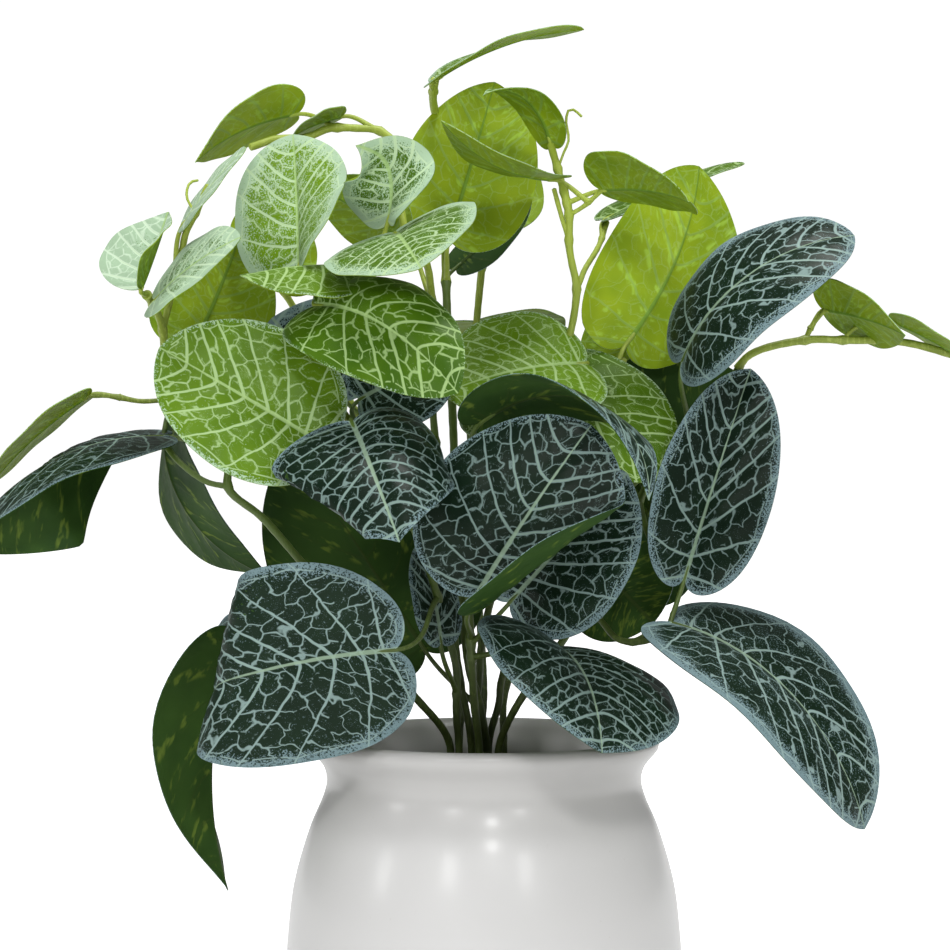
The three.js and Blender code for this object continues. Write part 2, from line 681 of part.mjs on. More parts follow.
// The radius of the inside wall at height z, read off its profile.
function insideRadius(z) {
  for (let i = 0; i < VASE_INSIDE.length - 1; i++) {
    const [[r1, z1], [r2, z2]] = [VASE_INSIDE[i], VASE_INSIDE[i + 1]];
    if (z <= z1 && z >= z2) return r1 + ((r2 - r1) * (z1 - z)) / (z1 - z2);
  }
  return VASE_INSIDE.at(-1)[0];
}

// The peat: the vase's inside below the fill line, shrunk by the gap, with a plain hole for each stem.
function peatSolid() {
  const wall = VASE_INSIDE.filter(([, z]) => z < PEAT_TOP).map(([r, z]) => [r - GAP * 1.5, z + GAP]);
  const rim = insideRadius(PEAT_TOP) - GAP * 1.5;
  const profile = [
    [0, VASE_FLOOR + GAP], ...wall.reverse(), [rim, PEAT_TOP], [rim * 0.6, PEAT_TOP + PEAT_RISE * 0.7],
    [0, PEAT_TOP + PEAT_RISE],
  ];
  let peat = toSolid(turned(profile, PEAT_SIDES));
  for (const { foot: [x, y], radius } of STEMS) {
    const bottom = vector([x, y, PEAT_TOP - HOLE_DEPTH]);
    const top = vector([x, y, PEAT_TOP + PEAT_RISE + 2]);
    const wide = (radius + GAP) / Math.cos(Math.PI / STEM_SIDES);
    peat = peat.subtract(tube([bottom, top], [wide, wide], STEM_SIDES));
  }
  return peat;
}

function part(name, geometry, material) {
  const mesh = new THREE.Mesh(geometry, material);
  mesh.name = name;
  return mesh;
}

function finish(name, color, roughness) {
  return new THREE.MeshStandardMaterial({ name, color, roughness, metalness: 0 });
}

const GLAZE = finish("vase_glaze", 0xdedcda, 0.28);
const PEAT = finish("peat", 0x2b1e15, 0.95);
const TONES = { dark: finish("dark_foliage", 0x2c4239, 0.5), lime: finish("lime_foliage", 0x7fae3a, 0.5) };

const plant = new THREE.Group();
plant.name = "potted_nerve_plant";
const vaseProfile = [[0, 0], ...VASE_OUTSIDE, ...VASE_LIP, ...VASE_INSIDE, [0, VASE_FLOOR]];
plant.add(part("vase", turned(vaseProfile, VASE_SIDES), GLAZE));
plant.add(part("peat", toGeometry(peatSolid()), PEAT));
for (const row of STEMS) {
  for (const tone of row.lime.length ? [DARK, LIME] : [DARK]) {
    plant.add(part(row.name + "_" + tone, toGeometry(foliage(row, tone)), TONES[tone]));
  }
}

export default plant;
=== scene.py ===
"""Potted nerve plant: the fine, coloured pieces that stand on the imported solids.

Lengths in the rows of the plant are millimetres, and everything that reaches Blender is in metres.
+Z is up, the front looks along -Y, and the origin is the centre of the vase's base.
"""

import logging
import math
from dataclasses import dataclass, field
from enum import Enum
from itertools import combinations
from typing import Sequence

import bpy
import numpy as np
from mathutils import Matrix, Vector


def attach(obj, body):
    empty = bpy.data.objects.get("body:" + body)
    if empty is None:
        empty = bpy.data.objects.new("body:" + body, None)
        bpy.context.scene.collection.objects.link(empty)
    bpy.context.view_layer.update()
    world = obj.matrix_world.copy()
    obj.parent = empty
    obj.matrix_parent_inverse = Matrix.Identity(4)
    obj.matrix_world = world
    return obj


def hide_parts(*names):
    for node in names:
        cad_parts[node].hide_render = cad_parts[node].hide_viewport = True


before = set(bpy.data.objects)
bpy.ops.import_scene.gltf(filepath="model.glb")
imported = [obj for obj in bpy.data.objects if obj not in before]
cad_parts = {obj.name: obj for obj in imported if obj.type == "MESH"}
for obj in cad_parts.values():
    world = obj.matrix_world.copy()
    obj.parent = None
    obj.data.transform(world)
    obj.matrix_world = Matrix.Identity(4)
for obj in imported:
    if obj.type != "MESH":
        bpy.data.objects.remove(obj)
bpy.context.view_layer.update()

MM = 0.001
ROUND = 6.28
LOG = logging.getLogger("nerve_plant")

Triple = tuple[float, float, float]
Pair = tuple[float, float]
Colour = tuple[float, float, float]
Shell = tuple[np.ndarray, list[tuple[int, ...]]]


class Tone(Enum):
    """The two colours of foliage, as the record's slots name them."""

    DARK = "dark"
    LIME = "lime"


DARK = Tone.DARK
LIME = Tone.LIME


class Value:
    """A socket of a shader graph that takes part in arithmetic."""

    def __init__(self, graph: "Graph", socket: bpy.types.NodeSocket | None) -> None:
        """Keep the socket, which an output node lacks, and the graph that it belongs to."""
        self.graph = graph
        self.socket = socket

    def __add__(self, other: "Value | float") -> "Value":
        """Return self + other."""
        return self.graph.math("ADD", self, other)

    def __radd__(self, other: float) -> "Value":
        """Return other + self."""
        return self.graph.math("ADD", other, self)

    def __sub__(self, other: "Value | float") -> "Value":
        """Return self - other."""
        return self.graph.math("SUBTRACT", self, other)

    def __rsub__(self, other: float) -> "Value":
        """Return other - self."""
        return self.graph.math("SUBTRACT", other, self)

    def __mul__(self, other: "Value | float") -> "Value":
        """Return self * other."""
        return self.graph.math("MULTIPLY", self, other)

    def __rmul__(self, other: float) -> "Value":
        """Return other * self."""
        return self.graph.math("MULTIPLY", other, self)

    def __truediv__(self, other: "Value | float") -> "Value":
        """Return self / other."""
        return self.graph.math("DIVIDE", self, other)

    def __abs__(self) -> "Value":
        """Return the absolute value."""
        return self.graph.math("ABSOLUTE", self)

    def clamped(self) -> "Value":
        """Return self kept between 0 and 1."""
        return self.graph.math("MULTIPLY", self, 1.0, clamp=True)

    def fraction(self) -> "Value":
        """Return the part of self after the point."""
        return self.graph.math("FRACT", self)

    def floor(self) -> "Value":
        """Return the whole number at or below self."""
        return self.graph.math("FLOOR", self)

    def larger(self, other: "Value | float") -> "Value":
        """Return the larger of self and other."""
        return self.graph.math("MAXIMUM", self, other)

    def smaller(self, other: "Value | float") -> "Value":
        """Return the smaller of self and other."""
        return self.graph.math("MINIMUM", self, other)

    def below(self, edge: "Value | float", soft: float) -> "Value":
        """Return 1 where self is under edge and 0 above it, with a soft step between."""
        return self.graph.step(edge - self, -soft, soft)

    def above(self, edge: float, soft: float) -> "Value":
        """Return 0 where self is under edge and 1 above it, with a soft step between."""
        return self.graph.step(self, edge - soft, edge + soft)


class Graph:
    """The node tree of one material or world, with one method that adds any node."""

    def __init__(self, owner: bpy.types.Material | bpy.types.World) -> None:
        """Empty the owner's node tree."""
        owner.use_nodes = True
        self.owner = owner
        self.tree = owner.node_tree
        self.tree.nodes.clear()

    def node(
        self,
        kind: str,
        settings: dict[str, object] | None = None,
        sockets: dict[str | int, object] | None = None,
        out: str | int = 0,
    ) -> Value:
        """Add a node.

        Args:
            kind: The node's type, without the leading ShaderNode.
            settings: Attributes of the node, set before its sockets.
            sockets: Values, colours or other nodes' outputs for its inputs.
            out: The output to return.

        Returns:
            The chosen output.
        """
        made = self.tree.nodes.new("ShaderNode" + kind)
        for key, value in (settings or {}).items():
            setattr(made, key, value)
        for key, value in (sockets or {}).items():
            if isinstance(value, Value):
                self.tree.links.new(value.socket, made.inputs[key])
            else:
                made.inputs[key].default_value = value
        return Value(self, made.outputs[out] if len(made.outputs) else None)

    def math(self, operation: str, *terms: "Value | float", clamp: bool = False) -> Value:
        """Add a Math node on one or two terms."""
        settings = {"operation": operation, "use_clamp": clamp}
        return self.node("Math", settings, dict(enumerate(terms)))

    def step(self, value: Value, low: float, high: float) -> Value:
        """Return a smooth step from 0 at low to 1 at high."""
        ends = {"Value": value, "From Min": low, "From Max": high}
        return self.node("MapRange", {"interpolation_type": "SMOOTHSTEP"}, ends)

    def mix(self, share: "Value | float", first: object, second: object) -> Value:
        """Return a colour between first and second."""
        ends = {"Factor": share, 6: first, 7: second}
        ends = {k: (*v, 1.0) if isinstance(v, tuple) else v for k, v in ends.items()}
        return self.node("Mix", {"data_type": "RGBA"}, ends, 2)

    def blend(self, share: Value, first: "Value | float", second: "Value | float") -> Value:
        """Return a number between first and second."""
        return first + share * (second - first)

    def split(self, whole: Value) -> list[Value]:
        """Return the three numbers of a vector."""
        node = self.node("SeparateXYZ", None, {0: whole}).socket.node
        return [Value(self, number) for number in node.outputs]

    def read(self, name: str) -> list[Value]:
        """Return the three numbers of a mesh attribute."""
        return self.split(self.node("Attribute", {"attribute_name": name}, out="Vector"))

    def place(self, x: "Value | float", y: "Value | float", z: "Value | float" = 0.0) -> Value:
        """Return a vector of three numbers."""
        return self.node("CombineXYZ", None, {0: x, 1: y, 2: z})

    def stretched(self, at: Value, scale: Triple) -> Value:
        """Return a place with each of its numbers scaled."""
        return self.node("Mapping", None, {"Vector": at, "Scale": scale})

    def noise(self, at: Value, scale: float, detail: float = 2.0, rough: float = 0.5) -> Value:
        """Return a noise from 0 to 1 at a place."""
        sockets = {"Vector": at, "Scale": scale, "Detail": detail, "Roughness": rough}
        return self.node("TexNoise", {"noise_dimensions": "3D"}, sockets)

    def chance(self, first: "Value | float", second: "Value | float") -> Value:
        """Return a random number from 0 to 1 that two numbers pick."""
        pick = {"Vector": self.place(first, second)}
        return self.node("TexWhiteNoise", {"noise_dimensions": "3D"}, pick)

    def cells(self, at: Value, scale: float, flat: bool) -> Value:
        """Return the distance to the walls of flat cells, or to the middles of solid ones."""
        kind = ("2D", "DISTANCE_TO_EDGE") if flat else ("3D", "F1")
        settings = dict(zip(("voronoi_dimensions", "feature"), kind))
        return self.node("TexVoronoi", settings, {"Vector": at, "Scale": scale}, "Distance")

    def finish(
        self,
        colour: object,
        rough: object,
        height: Value | None = None,
        bump: float = 0.3,
        depth: float = 0.0003,
        fixed: dict[str, float] | None = None,
    ) -> bpy.types.Material:
        """Close the graph with one shader.

        Args:
            colour: Base colour, a colour or a link.
            rough: Roughness, a number or a link.
            height: Relief for the bump, or None.
            bump: Strength of the bump.
            depth: How far in metres a height of 1 stands out.
            fixed: Numbers set on the shader's own sockets.

        Returns:
            The finished material.
        """
        sockets = {"Base Color": colour, "Roughness": rough, **(fixed or {})}
        if isinstance(colour, tuple):
            sockets["Base Color"] = (*colour, 1.0)
        if height is not None:
            relief = {"Strength": bump, "Distance": depth, "Height": height}
            sockets["Normal"] = self.node("Bump", None, relief)
        return self.close(self.node("BsdfPrincipled", None, sockets))

    def close(self, shader: Value) -> bpy.types.Material | bpy.types.World:
        """Join a shader to the tree's output and return the owner."""
        self.node("Output" + type(self.owner).__name__, None, {"Surface": shader})
        return self.owner


# The print on a blade, in millimetres. A line is given by half its width, and SOFT blurs its edges.
# RUNG_STUB and ZIGZAG are shares of the gap between two veins, and RUNG_BROKEN is a chance. WAVER
# and DRIFT are the scales of the small and the large bends of the lines.
VEIN_HALF = 0.60
RIB_HALF = 1.05
LEAST_HALF = 0.26
RUNG_HALF = 0.28
ARCH_HALF = 0.24
SOFT = 0.16
WAVER = 0.3
DRIFT = 0.13
RUNG_STEP = 5.4
RUNG_STUB = 0.12
RUNG_BROKEN = 0.17
BROAD_GAP = 5.5
ZIGZAG = 0.44
ARCH_IN = 2.2
ARCH_SWELL = 5.5
TWIG_REACH = 1.9
# How strongly the net, the finest twigs and a faint or a full print show.
NET_SHOWS = 0.9
TWIGS_SHOW = 0.6
FAINT_PRINT = 0.72
FULL_PRINT = 0.95
# The dots at the margin: how far frost spreads them, their grain, and where a grain becomes a dot.
FROST_REACH = 10.0
GRAIN = 1.5
CROWDING = 0.4
DOT_FROM = 0.72
DOT_FULL = 0.88


@dataclass(frozen=True)
class BladeFinish:
    """Printed leaf: a field with a net of veins and a frosted margin, and a plain underside."""

    name: str
    field_deep: Colour
    field_bright: Colour
    vein: Colour
    midrib: Colour
    margin: Colour
    rime: Colour
    under: Colour
    under_bright: Colour
    under_rib: Colour
    # Painted light: the colour of the underside's flecks where light shines through the blade by
    # its veins.
    under_fleck: Colour
    rim_mm: float
    rough: float
    shine: float
    show_through: float

    def build(self) -> bpy.types.Material:
        """Return the material, which reads the blade's own attributes."""
        g = Graph(bpy.data.materials.new(self.name))
        row, gap, edge = g.read("vein")
        along, across, seed = g.read("place")
        side, frost, tint = g.read("look")
        spot = g.place(along, across, seed)

        # Side veins run along whole rows, thin out from the midrib and waver a little.
        off_rib = abs(across)
        bend = g.noise(spot, WAVER, 1.0) - 0.5
        row = row + (g.noise(spot, DRIFT, 1.0) - 0.5) * 0.14 + bend * 0.03
        strip = row.floor()
        share = row - strip
        to_vein = (0.5 - abs(share - 0.5)) * gap
        swell = 0.75 + 0.5 * g.noise(spot, WAVER, 1.0)
        vein_half = (VEIN_HALF - 0.010 * off_rib).larger(LEAST_HALF) * swell
        veins = to_vein.below(vein_half, SOFT)
        rib_half = (RIB_HALF - 0.012 * along).larger(LEAST_HALF)
        rib = (off_rib + bend * 0.5).below(rib_half, 0.2)

        # Rungs leave each side vein and meet on a zigzag line halfway to the next one.
        rung = (off_rib + gap * 0.6 * (share - 0.5)) / RUNG_STEP + g.chance(strip, seed)
        rung = rung + (g.noise(spot, 0.12, 1.0) - 0.5) * 1.5 + bend * 0.3
        broad = gap.above(BROAD_GAP, 1.0)
        swing = abs(rung.fraction() - 0.5) * ZIGZAG - ZIGZAG / 4 + bend * 0.16
        beyond = (share + swing).above(0.5, 0.001)
        rung = rung + 0.5 * beyond * broad
        nearest = (rung + 0.5).floor()
        luck = g.chance(nearest, strip + 0.5 * beyond + seed)
        rung_mm = abs(rung - nearest) * RUNG_STEP
        stub = to_vein.below(gap * (RUNG_STUB + luck), 0.25).larger(luck.above(RUNG_BROKEN, 0.001))
        middle_mm = abs(share + swing - 0.5) * gap * 0.75
        joined = broad * g.noise(spot, 0.16, 0.0).above(0.3, 0.03)
        middle = middle_mm.below(0.25 * swell, SOFT) * joined
        net = (rung_mm.below(RUNG_HALF * swell, SOFT) * stub).larger(middle)

        # An arch inside the margin joins the veins' ends, and fine twigs branch off the lines.
        arch = edge - ARCH_IN - ARCH_SWELL * share * (1.0 - share)
        arch_line = abs(arch).below(ARCH_HALF, 0.14) * bend.above(-0.1, 0.03)
        net = (net * arch.above(0.0, 0.3)).larger(arch_line)
        twig_at = g.place(row * 3.4 + bend * 0.5, off_rib * 0.3 + bend * 0.5 + seed)
        near = to_vein.below(TWIG_REACH, 0.5).larger(middle_mm.below(1.3, 0.4) * broad)
        twigs = (g.cells(twig_at, 1.0, True) * (gap * 0.13 + 1.5)).below(0.15, 0.12) * near
        twigs = twigs * g.noise(spot, 0.4, 0.0).above(0.6, 0.04)
        printed = veins.larger(net * NET_SHOWS).larger(twigs * TWIGS_SHOW)

        # Dots crowd towards the edge.
        reach = (self.rim_mm + FROST_REACH * frost) * (0.5 + g.noise(spot, 0.1, 1.0))
        crowd = (1.0 - edge / reach).clamped()
        haze = frost * frost * frost * 1.2 * g.noise(spot, 0.09, 2.0)
        grain = g.noise(spot, GRAIN, 1.0, 0.8)
        dusting = g.step(grain + CROWDING * crowd + haze, DOT_FROM, DOT_FULL)

        patch = g.noise(spot, 0.045, 2.0).above(0.5, 0.3)
        ground = g.mix((tint * 0.75 + patch * 0.3).clamped(), self.field_deep, self.field_bright)
        strength = (FAINT_PRINT + 0.8 * tint).smaller(FULL_PRINT)
        top = g.mix(dusting, ground, self.margin)
        top = g.mix(printed * strength, top, g.mix(frost * frost, self.vein, self.rime))
        core = to_vein.below(vein_half * 0.3, 0.2) * patch * off_rib.below(18.0, 8.0)
        top = g.mix(core.larger(rib) * 0.8, top, self.midrib)

        # The underside has a moulded rib, a ghost of the print, and pale flecks along the veins
        # that are painted light shining through the blade.
        ribs_under = off_rib.below(rib_half * 0.9, 0.3)
        vein_under = to_vein.below(0.5, 0.3) * off_rib.below(16.0, 10.0)
        fleck = g.noise(g.place(row * 2.2, off_rib * 0.14, seed), 1.6, 2.0).above(0.6, 0.07)
        fleck = fleck * to_vein.below(2.6, 1.0)
        low = g.mix((patch * 0.6 + tint * 0.4).clamped(), self.under, self.under_bright)
        low = g.mix(fleck * (0.75 - self.show_through), low, self.under_fleck)
        low = g.mix((printed * self.show_through).clamped(), low, self.vein)
        low = g.mix(ribs_under.larger(vein_under * 0.45) * 0.8, low, self.under_rib)

        under = side.above(0.5, 0.02)
        crease = g.noise(g.place(row * 1.2, off_rib * 0.05, seed), 2.0, 2.0)
        sunk = (to_vein / gap.larger(1.0)).smaller(0.5) * 1.4
        relief_top = sunk + crease * off_rib.below(9.0, 6.0) * 1.2 - printed * 0.12 - rib * 0.5
        relief_low = ribs_under + vein_under * 0.3 + g.noise(spot, 0.3, 2.0) * 0.4
        rough_top = self.rough + 0.18 * dusting + 0.1 * printed
        rough = g.blend(under, rough_top, g.noise(spot, 0.3) * 0.2 + 0.5)
        height = g.blend(under, relief_top, relief_low)
        fixed = {"Specular IOR Level": self.shine}
        return g.finish(g.mix(under, top, low), rough, height, 0.4, 0.0005, fixed)


@dataclass(frozen=True)
class StalkFinish:
    """Moulded stem: mottled green, darker towards the peat. from_z and to_z are millimetres."""

    name: str
    low: Colour
    high: Colour
    fleck: Colour
    from_z: float
    to_z: float
    streaks: float = 900.0
    blotches: float = 160.0

    def build(self) -> bpy.types.Material:
        """Return the material, which changes with the height in the plant."""
        g = Graph(bpy.data.materials.new(self.name))
        spot = g.node("TexCoord", out="Object")
        share = g.step(g.split(spot)[2], self.from_z * MM, self.to_z * MM)
        streak = g.noise(g.stretched(spot, (1.0, 1.0, 0.12)), self.streaks, 2.0)
        blotch = g.noise(spot, self.blotches, 2.0)
        body = g.mix((share + (blotch - 0.5) * 0.5).clamped(), self.low, self.high)
        colour = g.mix(streak.above(0.6, 0.1) * 0.45, body, self.fleck)
        fixed = {"Specular IOR Level": 0.4}
        return g.finish(colour, 0.42 + 0.2 * blotch, streak + blotch, 0.35, 0.0003, fixed)


@dataclass(frozen=True)
class GlazeFinish:
    """White satin glaze over turned clay, with painted shade that greys the outside of the neck and
    the lip, where the foliage above shades them.
    """

    name: str = "white_glaze"
    colour: Colour = (0.62, 0.617, 0.61)
    cloud: Colour = (0.56, 0.555, 0.545)
    neck: Colour = (0.42, 0.416, 0.406)
    speck: Colour = (0.42, 0.39, 0.34)
    rough: float = 0.3
    neck_heights: Pair = (0.142, 0.172)
    wall_radii: Pair = (0.058, 0.0615)

    def build(self) -> bpy.types.Material:
        """Return the material."""
        g = Graph(bpy.data.materials.new(self.name))
        spot = g.node("TexCoord", out="Object")
        cloud = g.noise(spot, 22.0, 3.0)
        speck = g.cells(spot, 420.0, False).below(0.1, 0.03) * g.noise(spot, 60.0).above(0.62, 0.03)
        colour = g.mix(cloud * 0.45, self.colour, self.cloud)
        colour = g.mix(speck * 0.35, colour, self.speck)
        # Painted shade: the outside of the neck and the lip are greyed where the foliage above
        # shades them.
        x, y, z = g.split(spot)
        outside = g.step(x * x + y * y, self.wall_radii[0] ** 2, self.wall_radii[1] ** 2)
        colour = g.mix(g.step(z, *self.neck_heights) * outside * 0.9, colour, self.neck)
        turning = g.noise(g.stretched(spot, (0.15, 0.15, 1.0)), 160.0, 1.0)
        height = turning * 0.6 + g.noise(spot, 90.0, 2.0) * 0.4
        fixed = {"Coat Weight": 0.14, "Coat Roughness": 0.16, "Specular IOR Level": 0.3}
        return g.finish(colour, self.rough + 0.08 * cloud, height, 0.06, 0.0006, fixed)


@dataclass(frozen=True)
class PeatFinish:
    """Dark crumbs of peat with paler fibres."""

    name: str = "crumbly_peat"
    dark: Colour = (0.010, 0.006, 0.004)
    brown: Colour = (0.055, 0.031, 0.018)
    fibre: Colour = (0.16, 0.10, 0.055)
    rough: float = 0.9
    clods: float = 260.0
    strands: float = 1300.0

    def build(self) -> bpy.types.Material:
        """Return the material."""
        g = Graph(bpy.data.materials.new(self.name))
        spot = g.node("TexCoord", out="Object")
        clod = g.noise(spot, self.clods, 4.0, 0.65)
        strand = g.noise(g.stretched(spot, (1.0, 0.12, 1.0)), self.strands, 1.0)
        colour = g.mix(clod.above(0.5, 0.16), self.dark, self.brown)
        colour = g.mix(strand.above(0.68, 0.03) * 0.7, colour, self.fibre)
        return g.finish(colour, self.rough, clod + 0.3 * strand, 0.9, 0.0012)


@dataclass(frozen=True)
class FloorFinish:
    """White studio floor. It glows away from the plant, and lights the vase little from below."""

    name: str = "white_floor"
    colour: Colour = (0.9, 0.9, 0.9)
    rough: float = 0.9
    glow: float = 0.7
    near: float = 0.05
    from_m: float = 0.2
    to_m: float = 0.75
    far: float = 1.6
    far_m: float = 2.2

    def build(self) -> bpy.types.Material:
        """Return the material."""
        g = Graph(bpy.data.materials.new(self.name))
        spot = g.node("TexCoord", out="Object")
        away = g.node("VectorMath", {"operation": "LENGTH"}, {0: spot}, "Value")
        glow = g.mix(g.step(away, self.from_m, self.to_m), (self.near,) * 3, (1.0, 1.0, 1.0))
        glow = g.mix(g.step(away, self.to_m, self.far_m), glow, (self.far,) * 3)
        fixed = {"Emission Color": glow, "Emission Strength": self.glow}
        return g.finish(self.colour, self.rough, fixed=fixed)


DARK_BLADE = BladeFinish(
    name="dark_leaf",
    field_deep=(0.0032, 0.0100, 0.0052),
    field_bright=(0.0110, 0.0300, 0.0130),
    vein=(0.205, 0.300, 0.275),
    midrib=(0.26, 0.365, 0.26),
    margin=(0.150, 0.225, 0.240),
    rime=(0.30, 0.40, 0.40),
    under=(0.0150, 0.0420, 0.0085),
    under_bright=(0.0380, 0.0850, 0.0130),
    under_rib=(0.0350, 0.0600, 0.0120),
    under_fleck=(0.1200, 0.1800, 0.0250),
    rim_mm=1.8,
    rough=0.36,
    shine=0.10,
    show_through=0.0,
)
LIME_BLADE = BladeFinish(
    name="lime_leaf",
    field_deep=(0.021, 0.068, 0.0022),
    field_bright=(0.130, 0.245, 0.007),
    vein=(0.30, 0.44, 0.17),
    midrib=(0.32, 0.47, 0.18),
    margin=(0.32, 0.45, 0.30),
    rime=(0.54, 0.67, 0.52),
    # The underside colours are the leaf's own yellow-green, painted brighter to stand in for light
    # shining through the thin blade.
    under=(0.090, 0.172, 0.0035),
    under_bright=(0.240, 0.330, 0.008),
    under_rib=(0.100, 0.200, 0.022),
    under_fleck=(0.300, 0.480, 0.060),
    rim_mm=0.6,
    rough=0.40,
    shine=0.12,
    show_through=0.24,
)
DARK_STALK = StalkFinish(
    "olive_stem", (0.050, 0.074, 0.014), (0.080, 0.132, 0.020), (0.12, 0.17, 0.04), 180, 300
)
LIME_STALK = StalkFinish(
    "lime_stem", (0.115, 0.160, 0.018), (0.290, 0.370, 0.038), (0.40, 0.48, 0.11), 280, 400
)


@dataclass
class MeshParts:
    """Corners in millimetres, faces, and numbers kept at the corners."""

    corners: list[np.ndarray] = field(default_factory=list)
    faces: list[tuple[int, ...]] = field(default_factory=list)
    numbers: dict[str, list[np.ndarray]] = field(default_factory=dict)

    def add(
        self,
        corners: np.ndarray,
        faces: Sequence[tuple[int, ...]],
        numbers: dict[str, np.ndarray] | None = None,
    ) -> None:
        """Add one more shell.

        Args:
            corners: Its corners, one row of three each.
            faces: Its faces, as places in corners.
            numbers: Rows of three numbers for each corner, by attribute name.
        """
        first = sum(len(c) for c in self.corners)
        self.corners.append(np.asarray(corners, float))
        self.faces += [tuple(first + i for i in f) for f in faces]
        for name, rows in (numbers or {}).items():
            self.numbers.setdefault(name, []).append(rows)

    def piece(
        self, name: str, material: bpy.types.Material, sharp: float = 60.0
    ) -> bpy.types.Object:
        """Return the parts as one smooth-shaded object.

        Args:
            name: The piece's name.
            material: Its finish.
            sharp: The angle in degrees from which an edge stays sharp.

        Returns:
            The object, linked into the scene.
        """
        mesh = bpy.data.meshes.new(name)
        points = np.concatenate(self.corners) * MM
        mesh.from_pydata(points.tolist(), [], self.faces)
        for key, rows in self.numbers.items():
            store = mesh.attributes.new(key, "FLOAT_VECTOR", "POINT")
            store.data.foreach_set("vector", np.concatenate(rows).astype(np.float32).ravel())
        mesh.polygons.foreach_set("use_smooth", [True] * len(mesh.polygons))
        mesh.set_sharp_from_angle(angle=math.radians(sharp))
        mesh.materials.append(material)
        mesh.update()
        made = bpy.data.objects.new(name, mesh)
        bpy.context.scene.collection.objects.link(made)
        return made


def settle(piece: bpy.types.Object, node: str) -> None:
    """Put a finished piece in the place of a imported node.

    Args:
        piece: The piece.
        node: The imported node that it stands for.
    """
    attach(piece, "root")
    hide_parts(node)
    LOG.info("%s: %d faces for %s", piece.name, len(piece.data.polygons), node)


def ease(u: np.ndarray) -> np.ndarray:
    """Return a smooth step of u, which is kept between 0 and 1."""
    u = np.clip(u, 0.0, 1.0)
    return u * u * (3 - 2 * u)


def bezier(a: float, b: float, c: float, d: float, t: np.ndarray) -> np.ndarray:
    """Return a cubic curve's value at t."""
    return a * (1 - t) ** 3 + 3 * b * t * (1 - t) ** 2 + 3 * c * t * t * (1 - t) + d * t**3


def bell(u: np.ndarray) -> np.ndarray:
    """Return a bell curve, 1 at 0 and next to nothing beyond 2."""
    return np.exp(-(u**2))


def unit(v: Sequence[float]) -> np.ndarray:
    """Return v with length 1."""
    v = np.asarray(v, float)
    return v / np.linalg.norm(v)


def between(a: np.ndarray, b: np.ndarray, start: float, end: float, t: float) -> np.ndarray:
    """Return the point on the way from a, at start, to b, at end."""
    return a * (end - t) / (end - start) + b * (t - start) / (end - start)


def steps(points: np.ndarray) -> np.ndarray:
    """Return the distance from each point to the next."""
    return np.linalg.norm(np.diff(points, axis=0), axis=1)


def arc_places(points: np.ndarray) -> np.ndarray:
    """Return each point's distance along the line of points."""
    return np.concatenate([[0.0], np.cumsum(steps(points))])


def even_steps(points: np.ndarray, step: float) -> np.ndarray:
    """Return points at even steps along a line of points."""
    far = arc_places(points)
    places = np.linspace(0, far[-1], max(3, math.ceil(far[-1] / step) + 1))
    return np.stack([np.interp(places, far, points[:, k]) for k in range(3)], axis=1)


def smooth_path(places: Sequence[Triple], step: float) -> np.ndarray:
    """Run a smooth curve through a few places.

    Args:
        places: Points that the curve passes through.
        step: Longest distance between the returned points.

    Returns:
        Points at even steps along the curve.
    """
    p = np.asarray(places, float)
    p = np.vstack([2 * p[0] - p[1], p, 2 * p[-1] - p[-2]])
    knots = np.concatenate([[0.0], np.cumsum(steps(p) ** 0.5)])
    fine = [p[1]]
    for i in range(1, len(p) - 2):
        t0, t1, t2, t3 = knots[i - 1 : i + 3]
        for t in np.linspace(t1, t2, 17)[1:]:
            middle = between(p[i], p[i + 1], t1, t2, t)
            first = between(between(p[i - 1], p[i], t0, t1, t), middle, t0, t2, t)
            last = between(middle, between(p[i + 1], p[i + 2], t2, t3, t), t1, t3, t)
            fine.append(between(first, last, t1, t2, t))
    return even_steps(np.array(fine), step)


def ring_faces(rings: int, sides: int) -> list[tuple[int, ...]]:
    """Join rings of corners into a closed wall; its two end points come after the last ring."""
    end, low = (rings - 1) * sides, rings * sides
    faces = []
    for first in range(0, end, sides):
        for k in range(sides):
            a, b = first + k, first + (k + 1) % sides
            faces.append((a, b, b + sides, a + sides))
    for k in range(sides):
        n = (k + 1) % sides
        faces += [(low, n, k), (low + 1, end + k, end + n)]
    return faces


def tube(points: np.ndarray, radii: np.ndarray, sides: int) -> Shell:
    """Make a round tube with domed ends.

    Args:
        points: The line along its middle.
        radii: A radius for each point.
        sides: How many sides it has.

    Returns:
        Its corners and faces.
    """
    tangents = np.gradient(points, axis=0)
    tangents /= np.linalg.norm(tangents, axis=1)[:, None]
    angles = np.arange(sides) * 2 * math.pi / sides
    across = np.array([0.3, 1.0, 0.2])
    rings = []
    for p, d, r in zip(points, tangents, radii):
        across = unit(across - d * (across @ d))
        second = np.cross(d, across)
        rings.append(p + r * (np.outer(np.cos(angles), across) + np.outer(np.sin(angles), second)))
    first = points[0] - tangents[0] * radii[0] * 0.5
    last = points[-1] + tangents[-1] * radii[-1] * 0.5
    return np.vstack([*rings, first, last]), ring_faces(len(points), sides)


def lathe(profile: np.ndarray, sides: int) -> Shell:
    """Turn a profile that starts and ends on the axis.

    Args:
        profile: Rows of radius and height.
        sides: How many sides the turned body has.

    Returns:
        Its corners and faces, facing out.
    """
    angles = np.arange(sides) * 2 * math.pi / sides
    circle = np.stack([np.sin(angles), -np.cos(angles)], axis=1)
    rings = [np.column_stack([circle * r, np.full(sides, z)]) for r, z in profile[1:-1]]
    corners = np.vstack([*rings, [0, 0, profile[0, 1]], [0, 0, profile[-1, 1]]])
    return corners, ring_faces(len(rings), sides)


